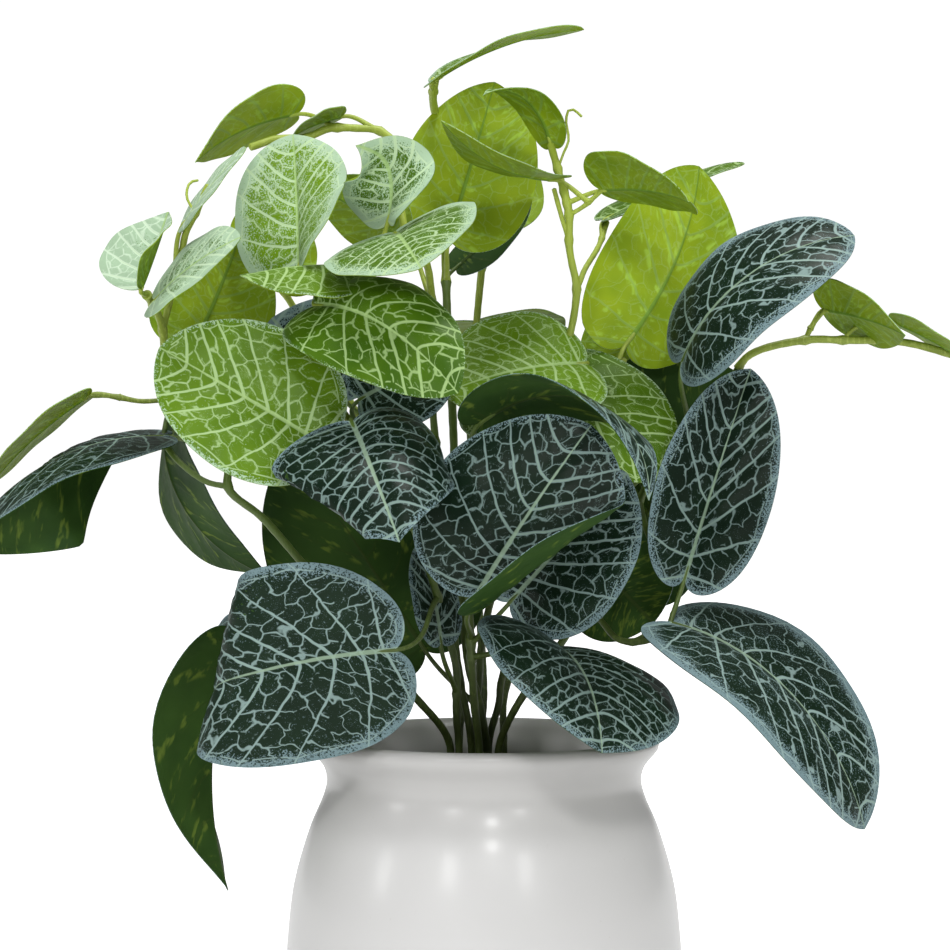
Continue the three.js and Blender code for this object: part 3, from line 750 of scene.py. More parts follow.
@dataclass(frozen=True)
class Leaf:
    """One leaf: the ends of its midrib, the way its upper side looks, its width and its shape.

    Angles are degrees. bend arches the midrib, nod folds it (turn, from, to), fold and curl lift
    the left and right half, skew slants bend and nod, bow shifts the midrib sideways, and point
    sharpens the tip. roll turns an edge over (side, from, to, turn, and the share of the half
    width where it starts at each end). frost and tint, 0 to 1, steer its print.
    """

    tone: Tone
    base: Triple
    tip: Triple
    face: Triple
    width: float
    bend: float = 20
    nod: Triple = (0, 0.45, 1)
    fold: Pair = (8, 8)
    curl: Pair = (-10, -10)
    twist: float = 0
    skew: float = 0
    bow: float = 0
    point: float = 0
    roll: tuple[float, ...] | None = None
    frost: float = 0.35
    tint: float = 0.4


@dataclass
class Blade:
    """The blade of a leaf as a thin closed plate with a moulded rib below.

    Lengths are millimetres, and trim keeps the plate a little inside its solid. edge_split and
    edge_widest place the widest part of the heart, on the curve and along the leaf. roll_fade and
    roll_soft ease an edge that turns over, along and across the leaf. The vein numbers say how many
    side veins a half has, how they crowd, how far one half lags and how near two may come. puff
    lifts the fields between the veins, and wave and waves shape the margin.
    """

    row: Leaf
    seed: int
    thick: float = 0.5
    trim: float = 0.985
    rows: int = 46
    columns: tuple[float, ...] = (
        0, 0.022, 0.05, 0.09, 0.15, 0.23, 0.32, 0.42, 0.52, 0.62, 0.72, 0.81, 0.89, 0.95, 1,
    )
    edge_split: float = 0.42
    edge_widest: float = 0.34
    edge_samples: int = 90
    roll_fade: float = 0.12
    roll_soft: float = 0.22
    rib_steps: int = 60
    section_steps: int = 16
    vein_count: float = 5.6
    mm_per_vein: float = 28
    vein_crowding: float = 0.62
    vein_stagger: float = 0.42
    vein_gaps: Pair = (1.5, 30)
    puff: float = 0.42
    wave: float = 0.5
    waves: float = 2.3
    rib_high: float = 0.75
    rib_half: float = 1.15
    groove_deep: float = 0.22
    groove_half: float = 1.4

    def __post_init__(self) -> None:
        """Set the blade's own directions and trace its midrib."""
        row = self.row
        self.half = row.width / 2 * self.trim
        self.base = np.asarray(row.base, float)
        chord = np.asarray(row.tip, float) - self.base
        along = unit(chord)
        face = np.asarray(row.face, float)
        self.up = unit(face - along * (face @ along))
        right = np.cross(along, self.up)
        skew = math.radians(row.skew)
        self.slant = (math.cos(skew), math.sin(skew))
        self.ahead = along * self.slant[0] + right * self.slant[1]
        self.right = right * self.slant[0] - along * self.slant[1]
        self._trace_midrib(float(np.linalg.norm(chord)))

    def _turned(self, x: np.ndarray) -> np.ndarray:
        """Return the midrib's turning angle at x, before it is set on its two ends."""
        nod, start, end = self.row.nod
        arch = -math.radians(self.row.bend) * (x - 0.5)
        return arch - math.radians(nod) * ease((x - start) / (end - start))

    def _trace_midrib(self, chord: float) -> None:
        """Sum the turning angle into a curve that joins the midrib's two ends."""
        x = np.linspace(0, 1, self.rib_steps + 1)
        angles = self._turned(x)
        middle = (angles[1:] + angles[:-1]) / 2
        a = np.concatenate([[0.0], np.cumsum(np.cos(middle))]) / self.rib_steps
        c = np.concatenate([[0.0], np.cumsum(np.sin(middle))]) / self.rib_steps
        self.turn = math.atan2(c[-1], a[-1])
        self.length = chord / math.hypot(a[-1], c[-1])
        cos, sin = math.cos(self.turn) * self.length, math.sin(self.turn) * self.length
        self.trace = (x, a * cos + c * sin, c * cos - a * sin)

    def midrib(self, x: np.ndarray) -> tuple[np.ndarray, np.ndarray, np.ndarray]:
        """Return how far along and up the midrib is at x, and its angle."""
        inside = np.clip(x, 0, 1)
        places, a, c = self.trace
        angle = self._turned(inside) - self.turn
        beyond = (x - inside) * self.length
        along = np.interp(inside, places, a) + beyond * np.cos(angle)
        up = np.interp(inside, places, c) + beyond * np.sin(angle)
        return along, up, angle

    def _section(self, side: int, x: np.ndarray, q: np.ndarray) -> tuple[np.ndarray, np.ndarray]:
        """Return how far out and how high one half is at share q of its width."""
        row = self.row
        fold = math.radians(row.fold[side]) * (1 - 0.5 * np.clip(x, 0, 1) ** 2)
        curl = math.radians(row.curl[side])
        turn, start = 0.0 * x, 1.0 + 0.0 * x
        if row.roll and row.roll[0] == side:
            _, begin, end, angle, inner, outer = row.roll
            fade = self.roll_fade
            window = np.clip((x - begin) / fade, 0, 1) * np.clip((end - x) / fade, 0, 1)
            turn = math.radians(angle) * ease(window)
            start = inner + (outer - inner) * np.clip((x - begin) / (end - begin), 0, 1)
        out, high = 0.0 * x, 0.0 * x
        for i in range(self.section_steps):
            place = q * (i + 0.5) / self.section_steps
            angle = fold + curl * place + turn * ease((place - start) / self.roll_soft)
            out = out + np.cos(angle)
            high = high + np.sin(angle)
        scale = self.half * q / self.section_steps
        return out * scale, high * scale

    def outline(self, t: np.ndarray) -> tuple[np.ndarray, np.ndarray]:
        """Return the heart-shaped edge at t: place along the length and share of the half width."""
        split, widest, sharp = self.edge_split, self.edge_widest, self.row.point
        first = np.clip(t / split, 0, 1)
        last = np.clip((t - split) / (1 - split), 0, 1)
        shoulder, taper = 0.84 if sharp > 0.5 else 0.94, 0.62 - 0.4 * sharp
        lobe = bezier(0, -0.13, -0.06, widest, first), bezier(0, 0.16, 1, 1, first)
        tip = bezier(widest, 0.66, shoulder, 1, last), bezier(1, 1, taper, 0, last)
        return np.where(t < split, lobe[0], tip[0]), np.where(t < split, lobe[1], tip[1])

    def flat(self, t: np.ndarray, s: np.ndarray) -> tuple[np.ndarray, np.ndarray]:
        """Return the flat place of row t and column s: shares of the length and the half width."""
        edge_x, edge_y = self.outline(t)
        rib = 0.05 * t + 0.95 * np.maximum(0, (t - 0.38) / 0.62) ** 1.35
        share = np.abs(s)
        return self.trim * (rib + (edge_x - rib) * (0.6 * share + 0.4 * share**2)), edge_y * s

    def at(self, x: np.ndarray, y: np.ndarray) -> np.ndarray:
        """Return the points in space of flat places x and y."""
        row = self.row
        inside = np.clip(x, 0, 1)
        left = self._section(0, x, np.abs(y))
        right = self._section(1, x, np.abs(y))
        signed = np.where(y < 0, -left[0], right[0])
        high = np.where(y < 0, left[1], right[1])
        twist = math.radians(row.twist) * (inside - 0.5)
        bow = row.bow * self.length * 4 * inside * (1 - inside)
        across = signed * np.cos(twist) - high * np.sin(twist) + bow
        lift = signed * np.sin(twist) + high * np.cos(twist)
        cos, sin = self.slant
        along, up, angle = self.midrib(x * cos + across / self.length * sin)
        return (
            self.base
            + np.multiply.outer(along - lift * np.sin(angle), self.ahead)
            + np.multiply.outer(across * cos - x * self.length * sin, self.right)
            + np.multiply.outer(up + lift * np.cos(angle), self.up)
        )

    def under(self, x: float, depth: float) -> np.ndarray:
        """Return the midrib's point at x, moved down out of the blade by depth."""
        cos, sin = self.slant
        bow = self.row.bow * self.length * 4 * x * (1 - x)
        along, up, angle = self.midrib(np.float64(x * cos + bow / self.length * sin))
        across = bow * cos - x * self.length * sin
        ahead = along + depth * math.sin(angle)
        down = up - depth * math.cos(angle)
        return self.base + ahead * self.ahead + across * self.right + down * self.up

    def start(self) -> np.ndarray:
        """Return the direction in which the midrib leaves its base."""
        return unit(self.under(0.05, 0) - self.under(0, 0))

    def _vein_row(self, x: np.ndarray, y: np.ndarray) -> np.ndarray:
        """Return the side vein's number at a flat place; whole numbers lie on a vein."""
        share = np.abs(y)
        reach = 0.8 * share + 0.2 * share**2
        # Halve the range until it closes on the foot of the vein that passes here.
        low, high = np.full_like(x, -0.35), np.full_like(x, 1.15)
        for _ in range(26):
            middle = (low + high) / 2
            ahead = np.maximum(middle, 0)
            over = middle + (-0.1 + 2.6 * ahead - 2.5 * ahead**2) * reach > x
            high = np.where(over, middle, high)
            low = np.where(over, low, middle)
        foot = (low + high) / 2
        count = self.vein_count + self.row.width / self.mm_per_vein
        crowded = (np.maximum(foot, 0) + 0.03) ** self.vein_crowding - 0.03**self.vein_crowding
        ranked = count * crowded + 9 * np.minimum(foot, 0)
        stagger = self.vein_stagger * np.where(y < 0, 1, 0) * (1 - np.exp(-share * self.half / 5.0))
        return ranked + stagger + (self.seed * 0.37) % 1

    def _vein_numbers(self, x: np.ndarray, y: np.ndarray) -> np.ndarray:
        """Return a vein's number, the millimetres from vein to vein and those to the edge."""
        small = 0.004
        here = self._vein_row(x, y)
        lean = self._vein_row(x + small, y) - self._vein_row(x - small, y)
        outward = self._vein_row(x, y + np.where(y < 0, -small, small)) - here
        slope = np.hypot(lean / (2 * small * self.length), outward / (small * self.half))
        gap = np.clip(1 / np.maximum(slope, 1e-6), *self.vein_gaps)
        edge_x, edge_y = self.outline(np.linspace(0, 1, self.edge_samples))
        ahead = x[:, None] * self.length - edge_x * self.length
        aside = np.abs(y)[:, None] * self.half - edge_y * self.half
        return np.stack([here, gap, np.hypot(ahead, aside).min(axis=1)], axis=1)

    def _relief(
        self, x: np.ndarray, y: np.ndarray, s: np.ndarray, veins: np.ndarray
    ) -> list[np.ndarray]:
        """Return how far the top and the underside stand off the middle of the plate."""
        phase = np.random.default_rng(self.seed).uniform(0, ROUND, 2)
        across = y * self.half
        puff = self.puff * (0.5 - 0.5 * np.cos(2 * math.pi * veins[:, 0]))
        puff = puff * ease((np.abs(across) - 1) / 5) * ease(veins[:, 2] / 7)
        curve = np.sin(2 * math.pi * self.waves * x + np.where(y < 0, *phase))
        lift = (puff + self.wave * np.abs(s) ** 3 * curve) * min(1.0, self.half / 30)
        fade = (1 - 0.8 * np.clip(x, 0, 1)) * ease(x * 12 + 0.3)
        rib = self.rib_high * bell(across / (self.rib_half - 0.5 * x)) * fade
        groove = self.groove_deep * bell(across / self.groove_half)
        return [self.thick / 2 + lift - groove, lift - self.thick / 2 - rib]

    def parts(self) -> MeshParts:
        """Return the plate's mesh with the numbers that its print reads."""
        columns = np.array([-c for c in self.columns[:0:-1]] + list(self.columns))
        wide, last = len(columns), self.rows
        share = np.linspace(0, 1, self.rows + 1)
        t = 0.75 * share + 0.25 * share**1.6
        grid_t, grid_s = np.meshgrid(t[1:-1], columns, indexing="ij")
        all_t = np.concatenate([[0.0], grid_t.ravel(), [1.0]])
        all_s = np.concatenate([[0.0], grid_s.ravel(), [0.0]])
        x, y = self.flat(all_t, all_s)
        middle = self.at(x, y)
        size = len(x)

        def index(i: int, j: int) -> int:
            """Return the corner in row i and column j."""
            return 0 if i == 0 else size - 1 if i == last else 1 + (i - 1) * wide + j

        faces = []
        for i in range(last):
            for j in range(wide - 1):
                ring = [index(i, j), index(i, j + 1), index(i + 1, j + 1), index(i + 1, j)]
                faces.append(tuple(dict.fromkeys(ring)))
        normals = np.zeros_like(middle)
        for f in faces:
            a, b, c = middle[f[0]], middle[f[1]], middle[f[2]]
            push = np.cross(b - a, c - a)
            for corner in f:
                normals[corner] += push
        normals /= np.maximum(np.linalg.norm(normals, axis=1), 1e-9)[:, None]

        veins = self._vein_numbers(x, y)
        above, below = self._relief(x, y, all_s, veins)
        corners = np.vstack([middle + normals * above[:, None], middle + normals * below[:, None]])
        shell = [*faces, *[tuple(size + i for i in reversed(f)) for f in faces]]
        rim = [index(i, wide - 1) for i in range(last + 1)]
        rim += [index(i, 0) for i in range(last - 1, 0, -1)]
        for a, b in zip(rim, rim[1:] + rim[:1]):
            shell.append((a, a + size, b + size, b))

        place = np.stack([x * self.length, y * self.half, np.full(size, self.seed * 7.3)], axis=1)
        look = [[side, self.row.frost, self.row.tint] for side in (0.0, 1.0) for _ in range(size)]
        twice = {"vein": np.vstack([veins, veins]), "place": np.vstack([place, place])}
        made = MeshParts()
        made.add(corners, shell, {**twice, "look": np.array(look)})
        return made


@dataclass(frozen=True)
class Branch:
    """A side stem: its colour, its radius and the places that it passes."""

    tone: Tone
    radius: float
    places: list[Triple]


@dataclass
class Run:
    """One line of stem with the places of its knuckles."""

    radius: float
    points: np.ndarray
    knuckles: list[float] = field(default_factory=list)
    knuckle_half: float = 1.7
    swelling: float = 0.32

    def nearest(self, wanted: np.ndarray) -> tuple[float, np.ndarray, float]:
        """Return the gap to the nearest point, that point and its place along the run."""
        gaps = np.linalg.norm(self.points - wanted, axis=1)
        best = int(gaps.argmin())
        return float(gaps[best]), self.points[best], float(arc_places(self.points)[best])

    def radii(self) -> np.ndarray:
        """Return the radius at each point, with a swelling at each knuckle."""
        far = arc_places(self.points)
        swell = sum((bell((far - k) / self.knuckle_half) for k in self.knuckles), 0 * far)
        ripple = 0.03 * np.sin(far * 0.9) + 0.02 * np.sin(far * 2.3 + 1)
        return self.radius * (0.9 + ripple + self.swelling * np.minimum(swell, 1))


@dataclass
class LeafyStem:
    """One moulded stem with its branches, petioles and blades, in one or two colours.

    sunk is the height of its foot in the peat. A petiole leaves its stem petiole_back behind the
    blade and petiole_drop below it, with a collar that adds a share to its radius.
    """

    name: str
    foot: Pair
    radius: float
    dark: list[Triple]
    leaves: list[Leaf]
    lime: list[Triple] = field(default_factory=list)
    branches: list[Branch] = field(default_factory=list)
    sunk: float = 125.5
    peat_top: float = 166
    step: float = 2.5
    sides: int = 12
    petiole_back: float = 18
    petiole_drop: float = 6
    petiole_foot: float = 1.15
    petiole_tip: float = 0.8
    petiole_step: float = 1.6
    petiole_collar: float = 0.35

    def _main(self, tone: Tone) -> np.ndarray:
        """Return the part of the main stem that has this colour."""
        x, y = self.foot
        places = [(x, y, self.sunk), (x, y, self.peat_top), *self.dark, *self.lime]
        path = smooth_path(places, self.step)
        if not self.lime:
            return path
        change = (np.asarray(self.dark[-1], float) + np.asarray(self.lime[0], float)) / 2
        cut = int(np.linalg.norm(path - change, axis=1).argmin())
        return path[: cut + 1] if tone is DARK else path[cut:]

    def _attach(self, runs: list[Run], wanted: np.ndarray) -> np.ndarray:
        """Return the nearest place on the runs, and mark a knuckle there."""
        best = min(runs, key=lambda run: run.nearest(wanted)[0])
        _, spot, place = best.nearest(wanted)
        best.knuckles.append(place)
        return spot

    def stalks(self, tone: Tone, blades: list[Blade]) -> MeshParts:
        """Make the stems and petioles of one colour.

        Args:
            tone: The colour.
            blades: The blades of that colour, which the petioles reach.

        Returns:
            One mesh with all of them.
        """
        runs = [Run(self.radius, self._main(tone), [0.0] if tone is LIME else [])]
        for branch in self.branches:
            if branch.tone is tone:
                start = self._attach(runs, np.asarray(branch.places[0], float))
                path = smooth_path([tuple(start), *branch.places[1:]], self.step)
                runs.append(Run(branch.radius, path))
        petioles = [self._petiole(blade, runs) for blade in blades]
        made = MeshParts()
        for run in runs:
            made.add(*tube(run.points, run.radii(), self.sides))
        for points, radii in petioles:
            made.add(*tube(points, radii, self.sides - 2))
        return made

    def _petiole(self, blade: Blade, runs: list[Run]) -> tuple[np.ndarray, np.ndarray]:
        """Return the line and the radii of the petiole from its stem to a blade."""
        start = blade.start()
        base = blade.under(0, blade.thick / 2)
        wanted = base - start * self.petiole_back - np.array([0, 0, self.petiole_drop])
        foot = self._attach(runs, wanted)
        reach = np.linalg.norm(foot - base) / 3
        controls = [foot, foot + unit(base - foot) * reach, base - start * reach, base]
        line = bezier(*controls, np.linspace(0, 1, 24)[:, None])
        # Its last stretch sinks into the moulded rib and ends there.
        sunk = blade.thick * 0.8
        line = np.vstack([line, blade.under(0.03, sunk), blade.under(0.07, sunk)])
        points = even_steps(line, self.petiole_step)
        share = np.linspace(0, 1, len(points))
        radii = self.petiole_foot + (self.petiole_tip - self.petiole_foot) * share
        radii = radii * (1 + self.petiole_collar * bell(share / 0.06))
        radii = radii * (1 - 0.55 * ease((share - 0.93) / 0.07))
        return points, radii

    def build(self, finishes: "Finishes", first_seed: int) -> None:
        """Make and dress every piece of this stem.

        Args:
            finishes: The finished materials.
            first_seed: Seed of its first leaf.
        """
        for tone in [DARK, LIME] if self.lime else [DARK]:
            node, slot = f"{self.name}_{tone.value}", f"{tone.value}_foliage"
            blades = []
            for i, row in enumerate(self.leaves):
                if row.tone is tone:
                    blades.append(Blade(row, first_seed + i))
                    name = f"{node}_leaf_{len(blades)}"
                    settle(blades[-1].parts().piece(name, finishes.blades[tone]), node)
            stalks = self.stalks(tone, blades)
            settle(stalks.piece(f"{node}_stalks", finishes.stalks[tone]), node)


PLANT = [
    LeafyStem(
        name="left_stem", foot=(-14, 0), radius=1.7,
        dark=[(-14, 0, 182), (-29, -12, 203), (-55, -18, 235), (-72, -20, 255), (-87, -20, 272),
              (-100, -20, 283), (-101, -17, 293)],
        lime=[(-113, -6, 308), (-126, -1, 318), (-127, -5, 334), (-127, -12, 346), (-128, -20, 352),
              (-130, -36, 358)],
        branches=[
            Branch(DARK, 1.3, [(-100, -20, 283), (-109, -20, 286), (-120, -18, 294),
                               (-127, -12, 302)]),
            Branch(LIME, 1.1, [(-126, -1, 318), (-137, -4, 318), (-148, -7, 320), (-156, -9, 320)]),
            Branch(LIME, 1.5, [(-127, -12, 346), (-123, -12, 362), (-119, -15, 377),
                               (-117, -18, 384), (-113, -18, 392), (-108, -20, 402)]),
            Branch(LIME, 0.6, [(-114, -18, 391), (-117, -16, 398), (-116, -13, 404),
                               (-113, -12, 405)]),
        ],
        leaves=[
            Leaf(DARK, (-97, -20, 224), (-99, -30, 126), (-0.7, 0.7, 0.2), 66, bend=60,
                 fold=(0, 70), point=1, frost=0.3, tint=0.3),
            Leaf(DARK, (-128, -10, 304), (-206, -20, 258), (-0.25, -0.2, 0.9), 76, bend=65,
                 fold=(0, 0), roll=(1, 0, 1.2, -95, 1, -1.4), frost=0.3, tint=0.2),
            Leaf(DARK, (-130, 24, 308), (-86, 8, 248), (0.75, 0.5, 0.45), 54, bend=-80, point=0.6,
                 frost=0.2, tint=0.0),
            Leaf(LIME, (-118, -20, 387), (-92, -30, 416), (-0.75, -0.3, 0.6), 32, bend=12,
                 fold=(0, 0), curl=(0, 0), frost=0.95, tint=0.5),
            Leaf(LIME, (-131, -45, 360), (-121, -40, 390), (-0.4, -0.9, 0.2), 50, bend=-10,
                 fold=(0, 70), point=0.6, frost=0.95, tint=0.5),
            Leaf(LIME, (-126, -40, 356), (-91, -60, 378), (-0.3, -0.65, 0.72), 42, bend=25,
                 fold=(0, 15), frost=0.85, tint=0.3),
            Leaf(LIME, (-157, -9, 320), (-197, -10, 283), (-0.65, 0.08, 0.7), 36, frost=0.2),
            Leaf(LIME, (-117, 10, 341), (-100, 20, 385), (0.3, 0.9, 0.2), 54, frost=0.3, tint=0.3),
        ],
    ),
    LeafyStem(
        name="front_left_stem", foot=(-10, -8), radius=1.7,
        dark=[(-10, -8, 182), (-11, -10, 194), (-11, -12, 212), (-15, -15, 228), (-19, -25, 244),
              (-27, -40, 268), (-38, -50, 290), (-47, -52, 304)],
        lime=[(-51, -51, 309), (-56, -48, 315)],
        leaves=[
            Leaf(DARK, (-34, -62, 223), (-85, -34, 209), (-0.35, -0.92, 0.1), 77, bend=25,
                 nod=(110, 0.43, 0.8), skew=28, bow=0.06, frost=0.5, tint=0.35),
            Leaf(DARK, (-49, -74, 308), (-30, -113, 264), (-0.1, -0.8, 0.6), 82, bend=36,
                 fold=(20, 0), curl=(-110, -20), roll=(1, -0.1, 1.2, -140, 0.93, -0.1), point=0.6,
                 frost=0.3, tint=0.0),
            Leaf(DARK, (-48, -30, 318), (-9, -30, 336), (0, -0.8, 0.6), 50, frost=0.2, tint=0.2),
            Leaf(DARK, (-17, -26, 224), (-26, -20, 262), (0.7, -0.6, 0.3), 28, frost=0.3, tint=0.2),
            Leaf(LIME, (-62, -60, 301), (-123, -60, 337), (-0.2, -0.95, 0.35), 64, bend=10,
                 fold=(25, 0), frost=0.3, tint=0.55),
        ],
    ),
    LeafyStem(
        name="top_left_stem", foot=(-5, -2), radius=1.7,
        dark=[(-5, -2, 180), (-6, -3, 189), (-10, -3, 209), (-13, 0, 239), (-18, 5, 287),
              (-21, 5, 322)],
        lime=[(-21, 3, 345), (-21, 0, 359), (-23, -12, 373), (-30, -28, 381), (-32, -26, 390),
              (-32, -15, 401), (-34, 0, 419), (-42, 5, 427), (-51, 5, 428), (-62, 5, 428),
              (-71, 2, 424), (-83, 0, 423), (-93, -5, 419)],
        branches=[
            Branch(LIME, 1.4, [(-21, 0, 359), (-33, -15, 361), (-48, -30, 366), (-58, -37, 366)]),
        ],
        leaves=[
            Leaf(DARK, (-55, -10, 318), (-84, -15, 351), (-0.3, -0.8, 0.5), 66, frost=0.6,
                 tint=0.2),
            Leaf(LIME, (-77, 20, 436), (-115, -10, 412), (-0.15, 0.55, 0.8), 42, bend=35,
                 fold=(5, 20), point=0.8, frost=0.3, tint=1.3),
            Leaf(LIME, (-71, -40, 367), (-75, -20, 423), (-0.15, -1, 0.1), 54, bend=-15,
                 fold=(0, 48), curl=(-10, -25), twist=-45, frost=0.7, tint=0.95),
            Leaf(LIME, (-52, -40, 369), (-92, -60, 363), (0, -0.5, 0.9), 54, fold=(0, -45),
                 frost=0.15, tint=0.45),
            Leaf(LIME, (-64, -50, 353), (-9, -98, 317), (-0.1, -0.75, 0.6), 52, bend=55,
                 fold=(45, -10), curl=(-90, 0), bow=-0.03, point=0.2, twist=-20, frost=0.12,
                 tint=0.1),
            Leaf(LIME, (-37, -40, 386), (-49, -56, 413), (-0.3, -0.85, -0.3), 40, bend=0,
                 nod=(-60, 0.4, 0.8), fold=(30, 0), twist=-115, bow=0.15, point=1, frost=0.7,
                 tint=0.3),
            Leaf(LIME, (-34, -45, 381), (-23, -95, 363), (-0.3, -0.55, 0.78), 62, bend=25,
                 frost=0.62, tint=0.35),
            Leaf(LIME, (-34, 20, 385), (-68, 20, 406), (0, 0.6, 0.8), 40, frost=0.3, tint=0.3),
            Leaf(LIME, (-57, 5, 433), (-77, 0, 424), (-0.2, 0.1, 1), 30, frost=0.9, tint=0.5),
        ],
    ),
    LeafyStem(
        name="top_stem", foot=(1, -5), radius=1.9,
        dark=[(1, -5, 180), (-2, -6, 198), (-6, -2, 212), (-10, 12, 254), (-13, 20, 319),
              (-15, 28, 355)],
        lime=[(-16, 38, 380), (-17, 52, 404), (-18, 55, 430), (-21, 38, 444), (-20, 22, 450)],
        leaves=[
            Leaf(DARK, (-11, 61, 377), (20, 70, 412), (0.5, 0.6, -0.3), 26, frost=0.3, tint=0.2),
            Leaf(LIME, (-14, 20, 386), (5, 45, 454), (0.1, 0.95, -0.1), 58, bend=10, frost=0.2,
                 tint=0.85),
            Leaf(LIME, (-20, 20, 450), (41, 0, 467), (-0.25, -0.12, 0.95), 42, bend=30, twist=25,
                 frost=0.5, tint=0.6),
        ],
    ),
    LeafyStem(
        name="tall_stem", foot=(-4, 7), radius=1.7,
        dark=[(-4, 7, 182), (-2, 8, 206), (-1, 8, 220), (7, 12, 254), (20, 15, 297)],
        lime=[(28, 8, 325), (35, 4, 347), (37, 2, 360), (37, 1, 365), (35, 0, 374), (34, 0, 381),
              (34, 0, 393), (31, 2, 406), (29, 5, 414), (27, 10, 422)],
        branches=[
            Branch(LIME, 1.1, [(34, 2, 383), (31, 0, 392), (28, 0, 403)]),
            Branch(LIME, 1, [(34, 0, 392), (40, -2, 396), (47, -5, 402)]),
            Branch(LIME, 0.6, [(30, 5, 411), (32, 5, 418), (34, 4, 423), (33, 4, 431), (34, 3, 435),
                               (36, 2, 435), (39, 0, 432)]),
            Branch(LIME, 1.3, [(37, 2, 363), (39, 14, 367), (42, 34, 374), (49, 57, 386),
                               (53, 71, 397)]),
        ],
        leaves=[
            Leaf(DARK, (-24, 20, 217), (-80, 30, 303), (0, 1, 0.1), 84, bend=0, frost=0.2,
                 tint=0.3),
            Leaf(LIME, (6, 20, 321), (74, -24, 287), (0.3, -0.82, 0.5), 72, bend=60, frost=0.2,
                 tint=0.3),
            Leaf(LIME, (40, -7, 333), (-17, -22, 320), (0, -0.7, 0.8), 70, bend=30, frost=0.2,
                 tint=0.8),
            Leaf(LIME, (27, 10, 423), (-1, -20, 437), (0.35, 0.35, 0.8), 22, bend=100, point=0.6,
                 frost=0.3, tint=0.6),
            Leaf(LIME, (28, 0, 407), (-17, -35, 426), (0.3, 0.12, 0.9), 34, bend=-45, point=0.6,
                 frost=0.3, tint=0.5),
            Leaf(LIME, (47, -5, 402), (79, -35, 394), (0, 0.65, 0.72), 50, bend=30, fold=(30, 0),
                 frost=0.3, tint=0.5),
            Leaf(LIME, (53, 72, 399), (114, 80, 424), (-0.35, -0.24, 0.93), 40, bend=15, frost=0.2,
                 tint=0.3),
        ],
    ),
    LeafyStem(
        name="right_stem", foot=(2, 4), radius=1.7,
        dark=[(2, 4, 182), (6, 4, 197), (7, 4, 206), (19, 8, 238), (38, 11, 283)],
        lime=[(46, 13, 307), (52, 18, 319), (57, 19, 336)],
        leaves=[
            Leaf(DARK, (64, 20, 287), (106, 30, 331), (0, 1, 0), 80, frost=0.2, tint=0.1),
            Leaf(DARK, (53, 28, 243), (75, 33, 288), (0, 1, 0), 60, frost=0.2, tint=0.1),
            Leaf(LIME, (58, 18, 342), (91, 54, 420), (-0.1, 0.95, 0.1), 60, bend=-15, bow=-0.06,
                 frost=0.2, tint=0.7),
        ],
    ),
    LeafyStem(
        name="far_right_stem", foot=(6, -2), radius=1.7,
        dark=[(6, -2, 180), (13, -8, 197), (30, -8, 221), (51, 5, 254), (69, 5, 291), (86, 0, 315),
              (98, -5, 326)],
        lime=[(105, -8, 336), (127, -10, 342), (142, -10, 342), (167, -10, 341), (188, -14, 335)],
        branches=[
            Branch(DARK, 1.4, [(40, -2, 239), (47, -10, 230), (53, -20, 224), (63, -26, 224),
                               (73, -30, 229)]),
            Branch(DARK, 1.3, [(63, 5, 279), (66, -10, 263), (77, -25, 249)]),
            Branch(LIME, 1, [(127, -10, 342), (130, -10, 348), (135, -10, 354)]),
            Branch(LIME, 1, [(142, -10, 342), (147, -10, 347), (155, -10, 349), (163, -10, 349)]),
        ],
        leaves=[
            Leaf(DARK, (78, -20, 334), (144, -35, 381), (-0.49, -0.57, 0.65), 60, bend=78,
                 curl=(-20, -35), point=-0.5, frost=0.5, tint=0.2),
            Leaf(DARK, (78, -25, 248), (106, -10, 332), (0.1, -0.95, 0.1), 52, bend=-10,
                 fold=(30, 35), frost=0.4, tint=0.0),
            Leaf(DARK, (74, -30, 231), (143, -60, 154), (0.5, -0.6, 0.65), 70, bend=75, frost=0.6,
                 tint=0.2),
            Leaf(DARK, (48, 6, 250), (68, -2, 229), (0, 1, 0.1), 48, frost=0.5, tint=0.2),
            Leaf(LIME, (135, -10, 354), (162, -40, 342), (0.2, 0.6, 0.8), 40, point=0.6, frost=0.4,
                 tint=0.5),
            Leaf(LIME, (163, -10, 349), (197, -25, 325), (0.3, 0.1, 0.9), 36, frost=0.4, tint=0.6),
        ],
    ),
    LeafyStem(
        name="front_stem", foot=(-2, -14), radius=1.8,
        dark=[(-2, -14, 181), (-4, -18, 200), (-5, -24, 218), (-6, -25, 240), (-7, -28, 274),
              (-6, -34, 298)],
        leaves=[
            Leaf(DARK, (27, -45, 223), (42, -100, 188), (0.4, -0.33, 0.85), 88, bend=55,
                 fold=(15, 28), curl=(-35, -50), frost=0.4, tint=0.1),
            Leaf(DARK, (10, -40, 240), (55, -50, 290), (-0.1, -0.9, 0.5), 66, bend=0, frost=0.45,
                 tint=0.1),
            Leaf(DARK, (-3, -68, 244), (40, -76, 308), (-0.12, -1, 0.15), 80, bend=35,
                 curl=(-28, -10), roll=(1, -0.2, 0.97, 108, -0.1, 0.74), twist=10, frost=0.3,
                 tint=0.0),
            Leaf(DARK, (-1, -50, 309), (59, -97, 278), (0.5, 0.02, 0.87), 44, bend=125, fold=(0, 0),
                 twist=-26, point=0.6, frost=0.3, tint=0.15),
        ],
    ),
    LeafyStem(
        name="back_left_stem", foot=(-10, 13), radius=1.7,
        dark=[(-10, 13, 182), (-9, 30, 200), (-18, 55, 236), (-34, 71, 276)],
        lime=[(-39, 74, 286), (-58, 82, 321), (-79, 80, 356), (-91, 73, 376)],
        leaves=[
            Leaf(DARK, (-38, 82, 274), (-69, 128, 300), (-0.3, 0.85, 0.4), 66),
            Leaf(LIME, (-62, 82, 325), (-87, 128, 323), (-0.3, 0.7, 0.6), 62),
